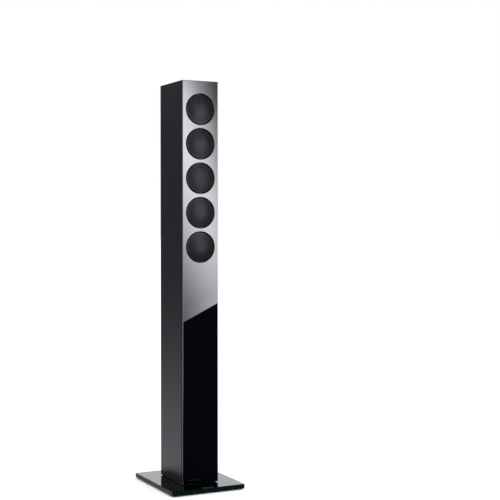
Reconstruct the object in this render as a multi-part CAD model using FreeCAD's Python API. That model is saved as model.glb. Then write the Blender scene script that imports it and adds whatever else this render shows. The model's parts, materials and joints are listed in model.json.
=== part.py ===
"""A slim floorstanding column speaker: a glass-fronted aluminium column on a glass base plate.

Millimetres. +Z is up and the speaker faces -Y.
The origin is on the floor, under the middle of the base plate.
"""

import FreeCAD, Part

import math
import os

Vector = FreeCAD.Vector

# ---- driving dimensions ----------------------------------------------------

TOTAL_HEIGHT = 1100.0

BASE_WIDTH = 212.0
BASE_DEPTH = 264.0
BASE_THICKNESS = 12.0
BASE_CORNER_RADIUS = 2.0
BASE_ARRIS = 0.9
FOOT_RADIUS = 11.0
FOOT_HEIGHT = 3.0
FOOT_INSET = 22.0

COLUMN_WIDTH = 104.0
COLUMN_DEPTH = 154.0
COLUMN_FORWARD = 1.5  # the column stands this far in front of the base plate's middle
SHADOW_GAP = 2.5  # between the base plate and the column
SPACER_INSET = 2.0
SPACER_SETBACK = 8.0  # behind the glass front

GLASS_THICKNESS = 6.0
GLASS_BEVEL = 1.0
TAPE_THICKNESS = 4.5
TAPE_INSET = 2.0
SIDE_WALL = 4.0
FRONT_WALL = 6.0
REAR_WALL = 4.0
REAR_CORNER_RADIUS = 1.0
BOTTOM_PLATE_THICKNESS = 6.0
TOP_PLATE_THICKNESS = 4.0
TOP_TRIM_THICKNESS = 2.5

DRIVER_COUNT = 5
TWEETER_PLACE = 3
FIRST_DRIVER_FROM_TOP = 76.0
DRIVER_PITCH = 92.4
GLASS_HOLE_RADIUS = 41.75
TAPE_HOLE_RADIUS = 42.5
FLANGE_RADIUS = 40.4
FLANGE_THICKNESS = 3.0
GASKET_THICKNESS = 0.5
REBATE_RADIUS = 40.6
CUTOUT_RADIUS = 36.0

RUNNING_GAP = 0.05  # radial clearance of a shaft in its hole
HEX_SIZE_RATIO = 0.5  # a socket's inscribed radius, as a share of its screw head's radius

BASE_SCREW_X = 28.0
BASE_SCREW_Y = 42.0
PORT_RADIUS = 4.5  # round screw ports in the tube's inner corners

TERMINAL_HEIGHT = 100.0
POST_SPACING = 19.0
POST_THREAD_RADIUS = 3.0
PLUG_RADIUS = 2.0
PLUG_DEPTH = 20.0

VENT_HEIGHT = 320.0

# ---- planes and levels that follow from them --------------------------------

PLATE_BOTTOM = FOOT_HEIGHT
PLATE_TOP = PLATE_BOTTOM + BASE_THICKNESS
COLUMN_BOTTOM = PLATE_TOP + SHADOW_GAP
TUBE_BOTTOM = COLUMN_BOTTOM + BOTTOM_PLATE_THICKNESS
TRIM_BOTTOM = TOTAL_HEIGHT - TOP_TRIM_THICKNESS
TUBE_TOP = TRIM_BOTTOM - TOP_PLATE_THICKNESS

COLUMN_Y = -COLUMN_FORWARD
GLASS_FRONT = COLUMN_Y - COLUMN_DEPTH / 2
GLASS_BACK = GLASS_FRONT + GLASS_THICKNESS
BODY_FRONT = GLASS_BACK + TAPE_THICKNESS
BODY_REAR = COLUMN_Y + COLUMN_DEPTH / 2
INNER_FRONT = BODY_FRONT + FRONT_WALL
INNER_REAR = BODY_REAR - REAR_WALL
HALF_WIDTH = COLUMN_WIDTH / 2
INNER_HALF_WIDTH = HALF_WIDTH - SIDE_WALL

REBATE_DEPTH = FLANGE_THICKNESS + GASKET_THICKNESS
GRILLE_DEPTH = BODY_FRONT - GLASS_FRONT

DRIVER_HEIGHTS = [
    TOTAL_HEIGHT - FIRST_DRIVER_FROM_TOP - DRIVER_PITCH * place for place in range(DRIVER_COUNT)
]
ALL_PLACES = range(1, DRIVER_COUNT + 1)
WOOFER_PLACES = [place for place in ALL_PLACES if place != TWEETER_PLACE]


# ---- shape helpers ----------------------------------------------------------

def box(x, y, z):
    """A box from three (low, high) pairs."""
    size = [high - low for low, high in (x, y, z)]
    return Part.makeBox(*size, Vector(x[0], y[0], z[0]))


def edges_along(shape, axis):
    """The straight edges of a shape that run along an axis."""
    found = []
    for edge in shape.Edges:
        run = edge.lastVertex().Point.sub(edge.firstVertex().Point)
        if run.Length > 0 and abs(abs(run.normalize().dot(axis)) - 1) < 1e-6:
            found.append(edge)
    return found


def upright_rounded(shape, radius):
    """The shape with its upright edges rounded."""
    return shape.makeFillet(radius, edges_along(shape, Vector(0, 0, 1)))


def edges_at(shape, axis, level):
    """The edges of a shape that lie wholly in the plane where its coordinate on an axis is level."""
    low, high = axis + "Min", axis + "Max"
    return [
        edge for edge in shape.Edges
        if abs(getattr(edge.BoundBox, low) - level) < 1e-6
        and abs(getattr(edge.BoundBox, high) - level) < 1e-6
    ]


def rod(radius, start, end):
    """A cylinder between two points."""
    start, end = Vector(*start), Vector(*end)
    run = end.sub(start)
    return Part.makeCylinder(radius, run.Length, start, run)


def outline(start, *moves):
    """A closed profile. Each move is a point to go to, or a pair: an arc through one point to the other."""
    edges, here = [], Vector(*start)
    for move in list(moves) + [start]:
        if isinstance(move[0], tuple):
            through, there = Vector(*move[0]), Vector(*move[1])
            edges.append(Part.Arc(here, through, there).toShape())
        else:
            there = Vector(*move)
            if here.distanceToPoint(there) > 1e-9:
                edges.append(Part.makeLine(here, there))
        here = there
    return Part.Face(Part.Wire(edges))


def turned(start, *moves):
    """A solid turned about the Y axis. Its profile's points are (radius, depth), depth growing towards +Y."""
    return outline(start, *moves).revolve(Vector(), Vector(0, 1, 0), 360)


def flat_ring(inner, outer, front, back):
    return turned((inner, front), (outer, front), (outer, back), (inner, back))


def bowl(rim, centre):
    """A sphere's arc from a rim point (radius, depth) to a point on the axis, as its middle and its end."""
    radius, sag = rim[0], centre[1] - rim[1]
    ball = (radius ** 2 + sag ** 2) / (2 * abs(sag))
    middle = radius / 2
    fall = ball - math.sqrt(ball ** 2 - middle ** 2)
    return (middle, centre[1] - math.copysign(fall, sag)), centre


def from_bowl(rim, centre):
    """The same arc run the other way, from the centre point to the rim."""
    return bowl(rim, centre)[0], rim


def at(shape, x=0.0, y=0.0, z=0.0):
    """A copy of a shape, moved."""
    copy = shape.copy()
    copy.translate(Vector(x, y, z))
    return copy


def at_driver(shape, place):
    """A driver part, drawn about the Y axis with depth 0 at the column's front, moved to its place."""
    return at(shape, y=BODY_FRONT, z=DRIVER_HEIGHTS[place - 1])


def around(shape, count, first=0.0):
    """Copies of a shape spread evenly about the Y axis."""
    copies = []
    for step in range(count):
        copy = shape.copy()
        copy.rotate(Vector(), Vector(0, 1, 0), first + 360.0 * step / count)
        copies.append(copy)
    return copies


def corners(x, y):
    return [(sx * x, sy * y) for sx in (-1, 1) for sy in (-1, 1)]


def group(shapes):
    return Part.makeCompound(shapes)


# ---- fasteners --------------------------------------------------------------

def hex_socket(radius, depth, start, direction):
    """The cutting tool for a hexagon socket."""
    ring = [
        Vector(radius * math.cos(math.radians(60 * k)), radius * math.sin(math.radians(60 * k)), 0)
        for k in range(6)
    ]
    tool = Part.Face(Part.makePolygon(ring + [ring[0]])).extrude(Vector(0, 0, depth))
    tool.Placement = FreeCAD.Placement(start, FreeCAD.Rotation(Vector(0, 0, 1), direction))
    return tool


def countersunk(head, shank, length, start, direction, extra=0.0):
    """A countersunk screw, its head's face at start. With extra it is the hole that the screw needs."""
    direction = Vector(*direction)
    start = Vector(*start)
    cone_height = head - shank
    cone = Part.makeCone(head + extra, shank + extra, cone_height, start, direction)
    screw = cone.fuse(Part.makeCylinder(shank + extra, length, start, direction))
    if extra:
        return screw
    return screw.cut(hex_socket(head * HEX_SIZE_RATIO, cone_height * 0.9, start, direction))


def base_screw(x, y, head_level):
    """A cap screw standing in the base plate, driven from below."""
    head_radius, head_height, thread_past_plate = 5.4, 4.0, 3.0
    head_bottom = head_level - head_height
    screw = rod(head_radius, (x, y, head_bottom), (x, y, head_level))
    screw = screw.fuse(rod(BASE_SCREW_SHANK, (x, y, head_level), (x, y, TUBE_BOTTOM + thread_past_plate)))
    socket = hex_socket(head_radius * HEX_SIZE_RATIO, 2.2, Vector(x, y, head_bottom), Vector(0, 0, 1))
    return screw.cut(socket)


# ---- base -------------------------------------------------------------------

BASE_SCREW_SHANK = 3.0
BASE_SCREW_CLEARANCE = 3.2
SLEEVE_RADIUS = 7.9
SLEEVE_GAP = 0.1
SLEEVE_FLANGE_RADIUS = 12.0
SLEEVE_FLANGE_THICKNESS = 1.4
SCREW_HEAD_LEVEL = PLATE_BOTTOM + 4.0


def base_screw_places():
    return [(x, COLUMN_Y + y) for x, y in corners(BASE_SCREW_X, BASE_SCREW_Y)]


def base_plate():
    half_width, half_depth = BASE_WIDTH / 2, BASE_DEPTH / 2
    plate = box((-half_width, half_width), (-half_depth, half_depth), (PLATE_BOTTOM, PLATE_TOP))
    plate = upright_rounded(plate, BASE_CORNER_RADIUS)
    rims = edges_at(plate, "Z", PLATE_TOP) + edges_at(plate, "Z", PLATE_BOTTOM)
    plate = plate.makeChamfer(BASE_ARRIS, rims)
    hole = SLEEVE_RADIUS + SLEEVE_GAP
    return plate.cut([rod(hole, (x, y, PLATE_BOTTOM), (x, y, PLATE_TOP)) for x, y in base_screw_places()])


def base_feet():
    """Four low pads with a softened rim, near the plate's corners."""
    rim = 0.8
    pad = Part.makeCylinder(FOOT_RADIUS, FOOT_HEIGHT)
    pad = pad.makeFillet(rim, edges_at(pad, "Z", 0.0))
    places = corners(BASE_WIDTH / 2 - FOOT_INSET, BASE_DEPTH / 2 - FOOT_INSET)
    return group([at(pad, x, y) for x, y in places])


def screw_sleeves():
    """Flanged bushes that keep the base screws off the glass."""
    head_room = 5.8
    sleeves = []
    for x, y in base_screw_places():
        flange_bottom = PLATE_BOTTOM - SLEEVE_FLANGE_THICKNESS
        sleeve = rod(SLEEVE_RADIUS, (x, y, PLATE_BOTTOM), (x, y, PLATE_TOP))
        sleeve = sleeve.fuse(rod(SLEEVE_FLANGE_RADIUS, (x, y, flange_bottom), (x, y, PLATE_BOTTOM)))
        sleeve = sleeve.cut(rod(head_room, (x, y, flange_bottom), (x, y, SCREW_HEAD_LEVEL)))
        sleeves.append(sleeve.cut(rod(BASE_SCREW_CLEARANCE, (x, y, SCREW_HEAD_LEVEL), (x, y, PLATE_TOP))))
    return group(sleeves)


def base_screws():
    return group([base_screw(x, y, SCREW_HEAD_LEVEL) for x, y in base_screw_places()])


def plinth_spacer():
    half_width = HALF_WIDTH - SPACER_INSET
    y = (GLASS_FRONT + SPACER_SETBACK, BODY_REAR - SPACER_INSET)
    spacer = upright_rounded(box((-half_width, half_width), y, (PLATE_TOP, COLUMN_BOTTOM)), 4.0)
    hole = BASE_SCREW_CLEARANCE
    return spacer.cut([rod(hole, (x, y, PLATE_TOP), (x, y, COLUMN_BOTTOM)) for x, y in base_screw_places()])


def badge_strip():
    """A plain metal strip let on to the plate's top, near its front edge."""
    half_length, width, thickness, setback = 16.0, 3.0, 0.4, 4.0
    front = -BASE_DEPTH / 2 + setback
    strip = box((-half_length, half_length), (front, front + width), (PLATE_TOP, PLATE_TOP + thickness))
    return upright_rounded(strip, 0.6)


# ---- column -----------------------------------------------------------------

END_SCREW_HEAD = 4.0
END_SCREW_SHANK = 2.0
END_SCREW_LENGTH = 16.0
PORT_BITE = 0.2  # how far a screw port's round runs into the wall beside it


def port_places():
    """The middles of the tube's four screw ports."""
    side_x = INNER_HALF_WIDTH + PORT_BITE - PORT_RADIUS
    front = INNER_FRONT - PORT_BITE + PORT_RADIUS
    rear = INNER_REAR + PORT_BITE - PORT_RADIUS
    return [(side * side_x, y) for side in (-1, 1) for y in (front, rear)]


def end_screws(extra=0.0):
    """The screws that hold the end plates, four at each end, or the holes they need."""
    size = END_SCREW_HEAD, END_SCREW_SHANK, END_SCREW_LENGTH
    screws = []
    for x, y in port_places():
        screws.append(countersunk(*size, (x, y, COLUMN_BOTTOM), (0, 0, 1), extra))
        screws.append(countersunk(*size, (x, y, TRIM_BOTTOM), (0, 0, -1), extra))
    return screws


def body_slab(bottom, top):
    """A slab with the extruded body's outline, its rear corners rounded."""
    slab = box((-HALF_WIDTH, HALF_WIDTH), (BODY_FRONT, BODY_REAR), (bottom, top))
    rear = [edge for edge in edges_along(slab, Vector(0, 0, 1)) if edge.BoundBox.YMin > COLUMN_Y]
    return slab.makeFillet(REAR_CORNER_RADIUS, rear)


TERMINAL_OPENING = (66.6, 40.6)


def cabinet_tube():
    """The extruded column body: screw ports in its corners, driver seats in front, two openings behind."""
    body = body_slab(TUBE_BOTTOM, TUBE_TOP)
    hollow = box((-INNER_HALF_WIDTH, INNER_HALF_WIDTH), (INNER_FRONT, INNER_REAR), (TUBE_BOTTOM, TUBE_TOP))
    ends = [((x, y, TUBE_BOTTOM), (x, y, TUBE_TOP)) for x, y in port_places()]
    body = body.cut(hollow.cut([rod(PORT_RADIUS, *end) for end in ends]))
    drills = [rod(END_SCREW_SHANK + RUNNING_GAP, *end) for end in ends]
    seats = []
    for height in DRIVER_HEIGHTS:
        front, floor = (0, BODY_FRONT, height), (0, BODY_FRONT + REBATE_DEPTH, height)
        seats.append(rod(REBATE_RADIUS, front, floor))
        seats.append(rod(CUTOUT_RADIUS, floor, (0, INNER_FRONT, height)))
    threads = [at_driver(hole, place) for place in ALL_PLACES for hole in driver_screw_ring(RUNNING_GAP)]
    half_wide, half_high = TERMINAL_OPENING[0] / 2, TERMINAL_OPENING[1] / 2
    openings = [
        box(
            (-half_wide, half_wide),
            (INNER_REAR, BODY_REAR),
            (TERMINAL_HEIGHT - half_high, TERMINAL_HEIGHT + half_high),
        ),
        rod(VENT_TUBE_RADIUS + 0.3, (0, INNER_REAR, VENT_HEIGHT), (0, BODY_REAR, VENT_HEIGHT)),
    ]
    return body.cut(drills + seats + threads + openings + terminal_screw_set(RUNNING_GAP))


def bottom_plate():
    plate = body_slab(COLUMN_BOTTOM, TUBE_BOTTOM)
    threads = [
        rod(3.0 + RUNNING_GAP, (x, y, COLUMN_BOTTOM), (x, y, TUBE_BOTTOM)) for x, y in base_screw_places()
    ]
    return plate.cut(threads + end_screws(RUNNING_GAP))


def top_plate():
    return body_slab(TUBE_TOP, TRIM_BOTTOM).cut(end_screws(RUNNING_GAP))


def top_trim():
    """The thin cover bonded over the top plate and its screws."""
    trim = body_slab(TRIM_BOTTOM, TOTAL_HEIGHT)
    return trim.makeChamfer(0.3, edges_at(trim, "Z", TOTAL_HEIGHT))


def front_panel():
    """The glass front: bevelled all round and drilled for the five drivers."""
    pane = box((-HALF_WIDTH, HALF_WIDTH), (GLASS_FRONT, GLASS_BACK), (COLUMN_BOTTOM, TOTAL_HEIGHT))
    pane = pane.makeChamfer(GLASS_BEVEL, edges_at(pane, "Y", GLASS_FRONT))
    bevel, radius = 1.0, GLASS_HOLE_RADIUS
    for height in DRIVER_HEIGHTS:
        front = Vector(0, GLASS_FRONT, height)
        hole = Part.makeCylinder(radius, GLASS_THICKNESS, front, Vector(0, 1, 0))
        mouth = Part.makeCone(radius + bevel, radius, bevel, front, Vector(0, 1, 0))
        pane = pane.cut([hole, mouth])
    return pane


def panel_tape():
    """The foam tape sheet that bonds the glass to the body, set in from the edges."""
    half_width = HALF_WIDTH - TAPE_INSET
    z = (COLUMN_BOTTOM + TAPE_INSET, TOTAL_HEIGHT - TAPE_INSET)
    sheet = box((-half_width, half_width), (GLASS_BACK, BODY_FRONT), z)
    radius = TAPE_HOLE_RADIUS
    return sheet.cut([rod(radius, (0, GLASS_BACK, z), (0, BODY_FRONT, z)) for z in DRIVER_HEIGHTS])


# ---- what all five drivers share ---------------------------------------------

DRIVER_SCREW_CIRCLE = 38.3
DRIVER_SCREW_HEAD = 1.95
DRIVER_SCREW_SHANK = 1.2
DRIVER_SCREW_LENGTH = REBATE_DEPTH + 2.3


def driver_screw_ring(extra=0.0):
    """Four countersunk screws on a driver's flange, or the holes they need."""
    size = DRIVER_SCREW_HEAD, DRIVER_SCREW_SHANK, DRIVER_SCREW_LENGTH
    return around(countersunk(*size, (DRIVER_SCREW_CIRCLE, 0, 0), (0, 1, 0), extra), 4, 45)


def driver_screws():
    return group([
        at_driver(screw, place) for place in ALL_PLACES for screw in driver_screw_ring()
    ])


def driver_gaskets():
    """Foam rings between each driver's flange and the floor of its seat."""
    ring = flat_ring(CUTOUT_RADIUS + 0.4, FLANGE_RADIUS, FLANGE_THICKNESS, REBATE_DEPTH)
    ring = ring.cut(driver_screw_ring(RUNNING_GAP))
    return group([at_driver(ring, place) for place in ALL_PLACES])


def driver_grilles():
    """Domed discs that stand in the glass holes on a thin skirt. Their face is just proud of the glass."""
    sheet, shadow_ring = 0.8, 2.8
    skirt_out = GLASS_HOLE_RADIUS - shadow_ring
    skirt_in = skirt_out - sheet
    shoulder = -(GRILLE_DEPTH - 2.3)
    rim, apex = (skirt_out - 0.8, shoulder - 0.8), (0.0, -(GRILLE_DEPTH + 0.8))
    corner = (skirt_out - 0.25, shoulder - 0.57)
    inner_rim, inner_apex = (skirt_in - 0.2, shoulder), (0.0, apex[1] + sheet)
    grille = turned(
        (skirt_out, 0),
        (skirt_out, shoulder),
        (corner, rim),
        bowl(rim, apex),
        inner_apex,
        from_bowl(inner_rim, inner_apex),
        (skirt_in, shoulder),
        (skirt_in, 0),
    )
    return group([at_driver(grille, place) for place in ALL_PLACES])


# ---- woofer -----------------------------------------------------------------

MAGNET_FRONT = 26.5  # depth where the basket's back ring meets the top plate
TOP_PLATE_BACK = MAGNET_FRONT + 4.0
MAGNET_BACK = TOP_PLATE_BACK + 10.0
YOKE_BACK = MAGNET_BACK + 4.5
COIL_INNER_RADIUS = 12.2
COIL_OUTER_RADIUS = 12.8
WINDING_RADIUS = 13.1
MAGNET_GAP_RADIUS = 13.6
MOTOR_PLATE_RADIUS = 28.0
POLE_RADIUS = 11.7
CONE_EDGE_RADIUS = 28.8
CONE_DEPTH = 8.5
CONE_THICKNESS = 0.6
LEDGE_DEPTH = 17.1
ROLL_MIDDLE = 31.8
ROLL_RADIUS = 3.0
RUBBER = 0.5


def woofer_basket():
    """Cast frame: flange, sloping wall with four windows, spider ledge, and a ring that meets the motor."""
    wall_top, ledge, ledge_inner, cup = 35.6, 24.0, 20.6, 22.4
    ledge_back = LEDGE_DEPTH + 1.5
    basket = turned(
        (FLANGE_RADIUS, 0),
        (FLANGE_RADIUS, FLANGE_THICKNESS),
        (wall_top, FLANGE_THICKNESS),
        (ledge, LEDGE_DEPTH),
        (ledge, MAGNET_FRONT),
        (MAGNET_GAP_RADIUS, MAGNET_FRONT),
        (MAGNET_GAP_RADIUS, MAGNET_FRONT - 1.5),
        (cup, MAGNET_FRONT - 1.5),
        (cup, ledge_back),
        (ledge_inner, ledge_back),
        (ledge_inner, LEDGE_DEPTH),
        (ledge - 1.6, LEDGE_DEPTH),
        (wall_top - 1.6, FLANGE_THICKNESS),
        (wall_top - 1.6, 0),
    )
    window = box((18.0, 45.0), (FLANGE_THICKNESS + 2.5, LEDGE_DEPTH - 1.6), (-12.0, 12.0))
    return basket.cut(around(window, 4)).cut(driver_screw_ring(RUNNING_GAP))


def woofer_cone():
    """A one-piece dish with a flat glue lip, and a neck behind it that holds the coil former."""
    lip = 1.8
    dish_rim = (CONE_EDGE_RADIUS - lip, 0.0)
    back_rim = (CONE_EDGE_RADIUS - lip, CONE_THICKNESS)
    dish = turned(
        (CONE_EDGE_RADIUS, 0),
        dish_rim,
        bowl(dish_rim, (0, CONE_DEPTH)),
        (0, CONE_DEPTH + CONE_THICKNESS),
        from_bowl(back_rim, (0, CONE_DEPTH + CONE_THICKNESS)),
        (CONE_EDGE_RADIUS, CONE_THICKNESS),
    )
    inner, outer, front, back = COIL_OUTER_RADIUS + RUNNING_GAP, COIL_OUTER_RADIUS + 0.8, 7.0, 13.0
    neck = turned((inner, front), (outer, front), (outer, back), (inner, back))
    return dish.fuse(neck).removeSplitter()


def woofer_coil():
    """Coil former with its winding, hanging from the cone into the magnet gap."""
    former_front, winding_front, back = 7.6, 23.5, 33.0
    return turned(
        (COIL_INNER_RADIUS, former_front),
        (COIL_OUTER_RADIUS, former_front),
        (COIL_OUTER_RADIUS, winding_front),
        (WINDING_RADIUS, winding_front),
        (WINDING_RADIUS, back),
        (COIL_INNER_RADIUS, back),
    )


def woofer_surround():
    """A rubber half roll from the basket's flange to the cone's lip, bulging forward."""
    inside = ROLL_RADIUS - RUBBER
    reach = math.sqrt(ROLL_RADIUS ** 2 - RUBBER ** 2)
    outer_lip, inner_lip = 36.1, CONE_EDGE_RADIUS - 1.6
    return turned(
        (outer_lip, -RUBBER),
        (outer_lip, 0),
        (ROLL_MIDDLE + inside, 0),
        ((ROLL_MIDDLE, -inside), (ROLL_MIDDLE - inside, 0)),
        (inner_lip, 0),
        (inner_lip, -RUBBER),
        (ROLL_MIDDLE - reach, -RUBBER),
        ((ROLL_MIDDLE, -ROLL_RADIUS), (ROLL_MIDDLE + reach, -RUBBER)),
    )


def woofer_spider():
    """The corrugated disc that centres the coil: a flat collar, four waves and a flat lip on the ledge."""
    collar, first_wave, last_wave, lip = COIL_OUTER_RADIUS + RUNNING_GAP, 13.6, 20.8, 22.2
    front, back, wave_count = LEDGE_DEPTH - 0.4, LEDGE_DEPTH, 4
    step = (last_wave - first_wave) / wave_count
    rise = 0.7

    def waves(level, start, direction):
        moves = []
        for k in range(wave_count):
            middle = start + direction * step * (k + 0.5)
            end = start + direction * step * (k + 1)
            moves.append(((middle, level - rise), (end, level)))
        return moves

    return turned(
        (collar, front),
        (first_wave, front),
        *waves(front, first_wave, 1),
        (lip, front),
        (lip, back),
        (last_wave, back),
        *waves(back, last_wave, -1),
        (collar, back),
    )


def ring_magnet(front, back):
    """A ferrite ring with ground corners."""
    inner, outer, grind = 16.0, 30.0, 0.8
    return turned(
        (inner, front),
        (outer - grind, front),
        (outer, front + grind),
        (outer, back - grind),
        (outer - grind, back),
        (inner, back),
    )


def yoke(pole, front, seat, back):
    """A pole piece on a back plate, with a vent along its axis."""
    vent, disc, turn_in = 3.0, MOTOR_PLATE_RADIUS, 1.0
    return turned(
        (vent, front),
        (pole, front),
        (pole, seat),
        (disc, seat),
        (disc, back - turn_in),
        (disc - turn_in, back),
        (vent, back),
    )


def for_woofers(shape):
    """The same part in each of the four woofers."""
    return group([at_driver(shape, place) for place in WOOFER_PLACES])


# ---- tweeter ----------------------------------------------------------------

DOME_SEAT = 7.0
DOME_RIM_RADIUS = 12.85
TWEETER_TOP_PLATE = (7.4, 11.4)
TWEETER_MAGNET_BACK = 19.4
TWEETER_YOKE_BACK = 23.4
TWEETER_GAP_RADIUS = 13.1
TWEETER_POLE_RADIUS = 11.6
TWEETER_POLE_FRONT = 8.0


def tweeter_faceplate():
    """Cast plate with a shallow horn that leads out from the dome."""
    boss, throat = 35.4, 15.3
    mouth, horn_end = (34.0, 0.0), (throat, 4.2)
    plate = turned(
        (FLANGE_RADIUS, 0),
        (FLANGE_RADIUS, FLANGE_THICKNESS),
        (boss, FLANGE_THICKNESS),
        (boss, DOME_SEAT),
        (throat, DOME_SEAT),
        horn_end,
        ((23.0, 2.9), mouth),
    )
    return plate.cut(driver_screw_ring(RUNNING_GAP))


def tweeter_dome():
    front_rim, back_rim, skin, apex = (11.9, DOME_SEAT), (11.6, DOME_SEAT + 0.3), 0.3, 2.4
    return turned(
        (DOME_RIM_RADIUS, DOME_SEAT),
        front_rim,
        bowl(front_rim, (0, apex)),
        (0, apex + skin),
        from_bowl(back_rim, (0, apex + skin)),
        (DOME_RIM_RADIUS, DOME_SEAT + 0.3),
    )


def tweeter_surround():
    """A fine half roll between the dome's rim and the clamped outer lip."""
    middle, outside, skin, lip_out, lip_in = 13.9, 1.3, 0.3, 18.0, 12.0
    inside = outside - skin
    reach = math.sqrt(outside ** 2 - skin ** 2)
    back = TWEETER_TOP_PLATE[0]
    return turned(
        (lip_out, DOME_SEAT),
        (lip_out, back),
        (middle + inside, back),
        (middle + inside, DOME_SEAT),
        ((middle, DOME_SEAT - inside), (middle - inside, DOME_SEAT)),
        (lip_in, DOME_SEAT),
        (lip_in, DOME_SEAT - skin),
        (middle - reach, DOME_SEAT - skin),
        ((middle, DOME_SEAT - outside), (middle + outside, DOME_SEAT)),
    )


def tweeter_coil():
    front, winding, back = DOME_SEAT + 0.3, (8.6, 12.0), 13.0
    return turned(
        (12.0, front),
        (12.4, front),
        (12.4, winding[0]),
        (12.7, winding[0]),
        (12.7, winding[1]),
        (12.4, winding[1]),
        (12.4, back),
        (12.0, back),
    )


def tweeter_rear_cup():
    """A small closed chamber behind the tweeter's vented pole."""
    outer, wall, back = 22.0, 2.0, TWEETER_YOKE_BACK + 18.0
    return turned(
        (outer, TWEETER_YOKE_BACK),
        (outer, back - wall),
        (outer - wall, back),
        (0, back),
        (0, back - wall),
        (outer - wall, back - wall),
        (outer - wall, TWEETER_YOKE_BACK),
    )


def for_tweeter(shape):
    return at_driver(shape, TWEETER_PLACE)


# ---- rear: terminals and vent -------------------------------------------------

CUP_FLANGE = (80.0, 54.0)
CUP_FLANGE_THICKNESS = 2.5
CUP_DEPTH = 15.5
CUP_WALL = 2.0
TERMINAL_SCREW_X = 36.6
TERMINAL_SCREW_Z = 23.6
TERMINAL_SCREW_HEAD = 2.6
TERMINAL_SCREW_SHANK = 1.4

CUP_FLOOR = BODY_REAR - CUP_DEPTH
POST_COLLAR_TOP = CUP_FLOOR + 3.0
POST_INNER_END = CUP_FLOOR - CUP_WALL - 9.0
WASHER_THICKNESS = 1.2
CAP_LENGTH = 15.5
CAP_BASE = POST_COLLAR_TOP + WASHER_THICKNESS
SHAFT_END = CAP_BASE + CAP_LENGTH - 1.5
POST_SIDES = {"red": 1, "black": -1}


def post_x(colour):
    return POST_SIDES[colour] * POST_SPACING / 2


def rear_rod(radius, x, y_from, y_to, z=TERMINAL_HEIGHT):
    return rod(radius, (x, y_from, z), (x, y_to, z))


def terminal_screw_set(extra=0.0):
    """The four countersunk screws of the terminal cup, or the holes they need."""
    outside = BODY_REAR + CUP_FLANGE_THICKNESS
    size = TERMINAL_SCREW_HEAD, TERMINAL_SCREW_SHANK, CUP_FLANGE_THICKNESS + REAR_WALL
    return [
        countersunk(*size, (x, outside, TERMINAL_HEIGHT + z), (0, -1, 0), extra)
        for x, z in corners(TERMINAL_SCREW_X, TERMINAL_SCREW_Z)
    ]


def block_about(width, height, y, corner):
    """A block centred on the terminals, its long edges (those along Y) rounded."""
    half_width, half_height = width / 2, height / 2
    block = box((-half_width, half_width), y, (TERMINAL_HEIGHT - half_height, TERMINAL_HEIGHT + half_height))
    return block.makeFillet(corner, edges_along(block, Vector(0, 1, 0)))


def terminal_cup():
    """Moulded tray: a rounded flange outside, a recess, and two holes in its floor for the posts."""
    outside = BODY_REAR + CUP_FLANGE_THICKNESS
    flange = block_about(*CUP_FLANGE, (BODY_REAR, outside), 5.0)
    flange = flange.makeFillet(1.0, edges_at(flange, "Y", outside))
    tray_width, tray_height = TERMINAL_OPENING[0] - 0.6, TERMINAL_OPENING[1] - 0.6
    tray = block_about(tray_width, tray_height, (CUP_FLOOR - CUP_WALL, BODY_REAR), 3.0)
    recess = block_about(tray_width - 2 * CUP_WALL, tray_height - 2 * CUP_WALL, (CUP_FLOOR, outside), 2.0)
    post_hole = POST_THREAD_RADIUS + 0.1
    holes = [rear_rod(post_hole, post_x(colour), CUP_FLOOR - CUP_WALL, CUP_FLOOR) for colour in POST_SIDES]
    return flange.fuse(tray).cut([recess] + holes + terminal_screw_set(RUNNING_GAP)).removeSplitter()


def hex_block(across_flats, x, y, height):
    """A hexagonal nut blank about a post's axis."""
    blank = hex_socket(across_flats / math.sqrt(3), height, Vector(), Vector(0, 1, 0))
    return at(blank, x, y, TERMINAL_HEIGHT)


def binding_posts():
    """Threaded shafts, each with a hexagonal collar, a plug bore and a cross hole for bare wire."""
    wire_radius, wire_y = 1.2, CAP_BASE + 1.6
    posts = []
    for colour in POST_SIDES:
        x = post_x(colour)
        post = rear_rod(POST_THREAD_RADIUS, x, POST_INNER_END, SHAFT_END)
        post = post.fuse(hex_block(11.0, x, CUP_FLOOR, POST_COLLAR_TOP - CUP_FLOOR))
        post = post.cut(rear_rod(PLUG_RADIUS, x, SHAFT_END - PLUG_DEPTH, SHAFT_END))
        wire_hole = rod(wire_radius, (x, wire_y, TERMINAL_HEIGHT - 5), (x, wire_y, TERMINAL_HEIGHT + 5))
        posts.append(post.cut(wire_hole))
    return group(posts)


def post_nuts():
    """Nuts that clamp the posts from inside the cabinet."""
    nuts = []
    for colour in POST_SIDES:
        x, front = post_x(colour), CUP_FLOOR - CUP_WALL - 3.0
        bore = rear_rod(POST_THREAD_RADIUS + RUNNING_GAP, x, front, CUP_FLOOR)
        nuts.append(hex_block(9.0, x, front, 3.0).cut(bore))
    return group(nuts)


def post_washer(colour):
    """The captive washer between collar and cap. It slides with the cap and doesn't turn."""
    x = post_x(colour)
    disc = rear_rod(6.6, x, POST_COLLAR_TOP, CAP_BASE)
    return disc.cut(rear_rod(POST_THREAD_RADIUS + RUNNING_GAP, x, POST_COLLAR_TOP, CAP_BASE))


def post_cap(colour):
    """The knurled screw cap, bored right through for a plug."""
    x, radius, flutes = post_x(colour), 7.4, 12
    end = CAP_BASE + CAP_LENGTH
    cap = rear_rod(radius, x, CAP_BASE, end)
    cap = cap.makeChamfer(0.8, edges_at(cap, "Y", end) + edges_at(cap, "Y", CAP_BASE))
    flute = rod(0.9, (radius + 0.35, CAP_BASE + 2.0, 0), (radius + 0.35, end + 1.0, 0))
    grips = [at(cut, x, 0, TERMINAL_HEIGHT) for cut in around(flute, flutes)]
    return cap.cut(grips + [rear_rod(POST_THREAD_RADIUS + RUNNING_GAP, x, CAP_BASE, end)])


VENT_RADIUS = 16.0
VENT_TUBE_RADIUS = 18.0
VENT_LENGTH = 82.0


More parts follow.
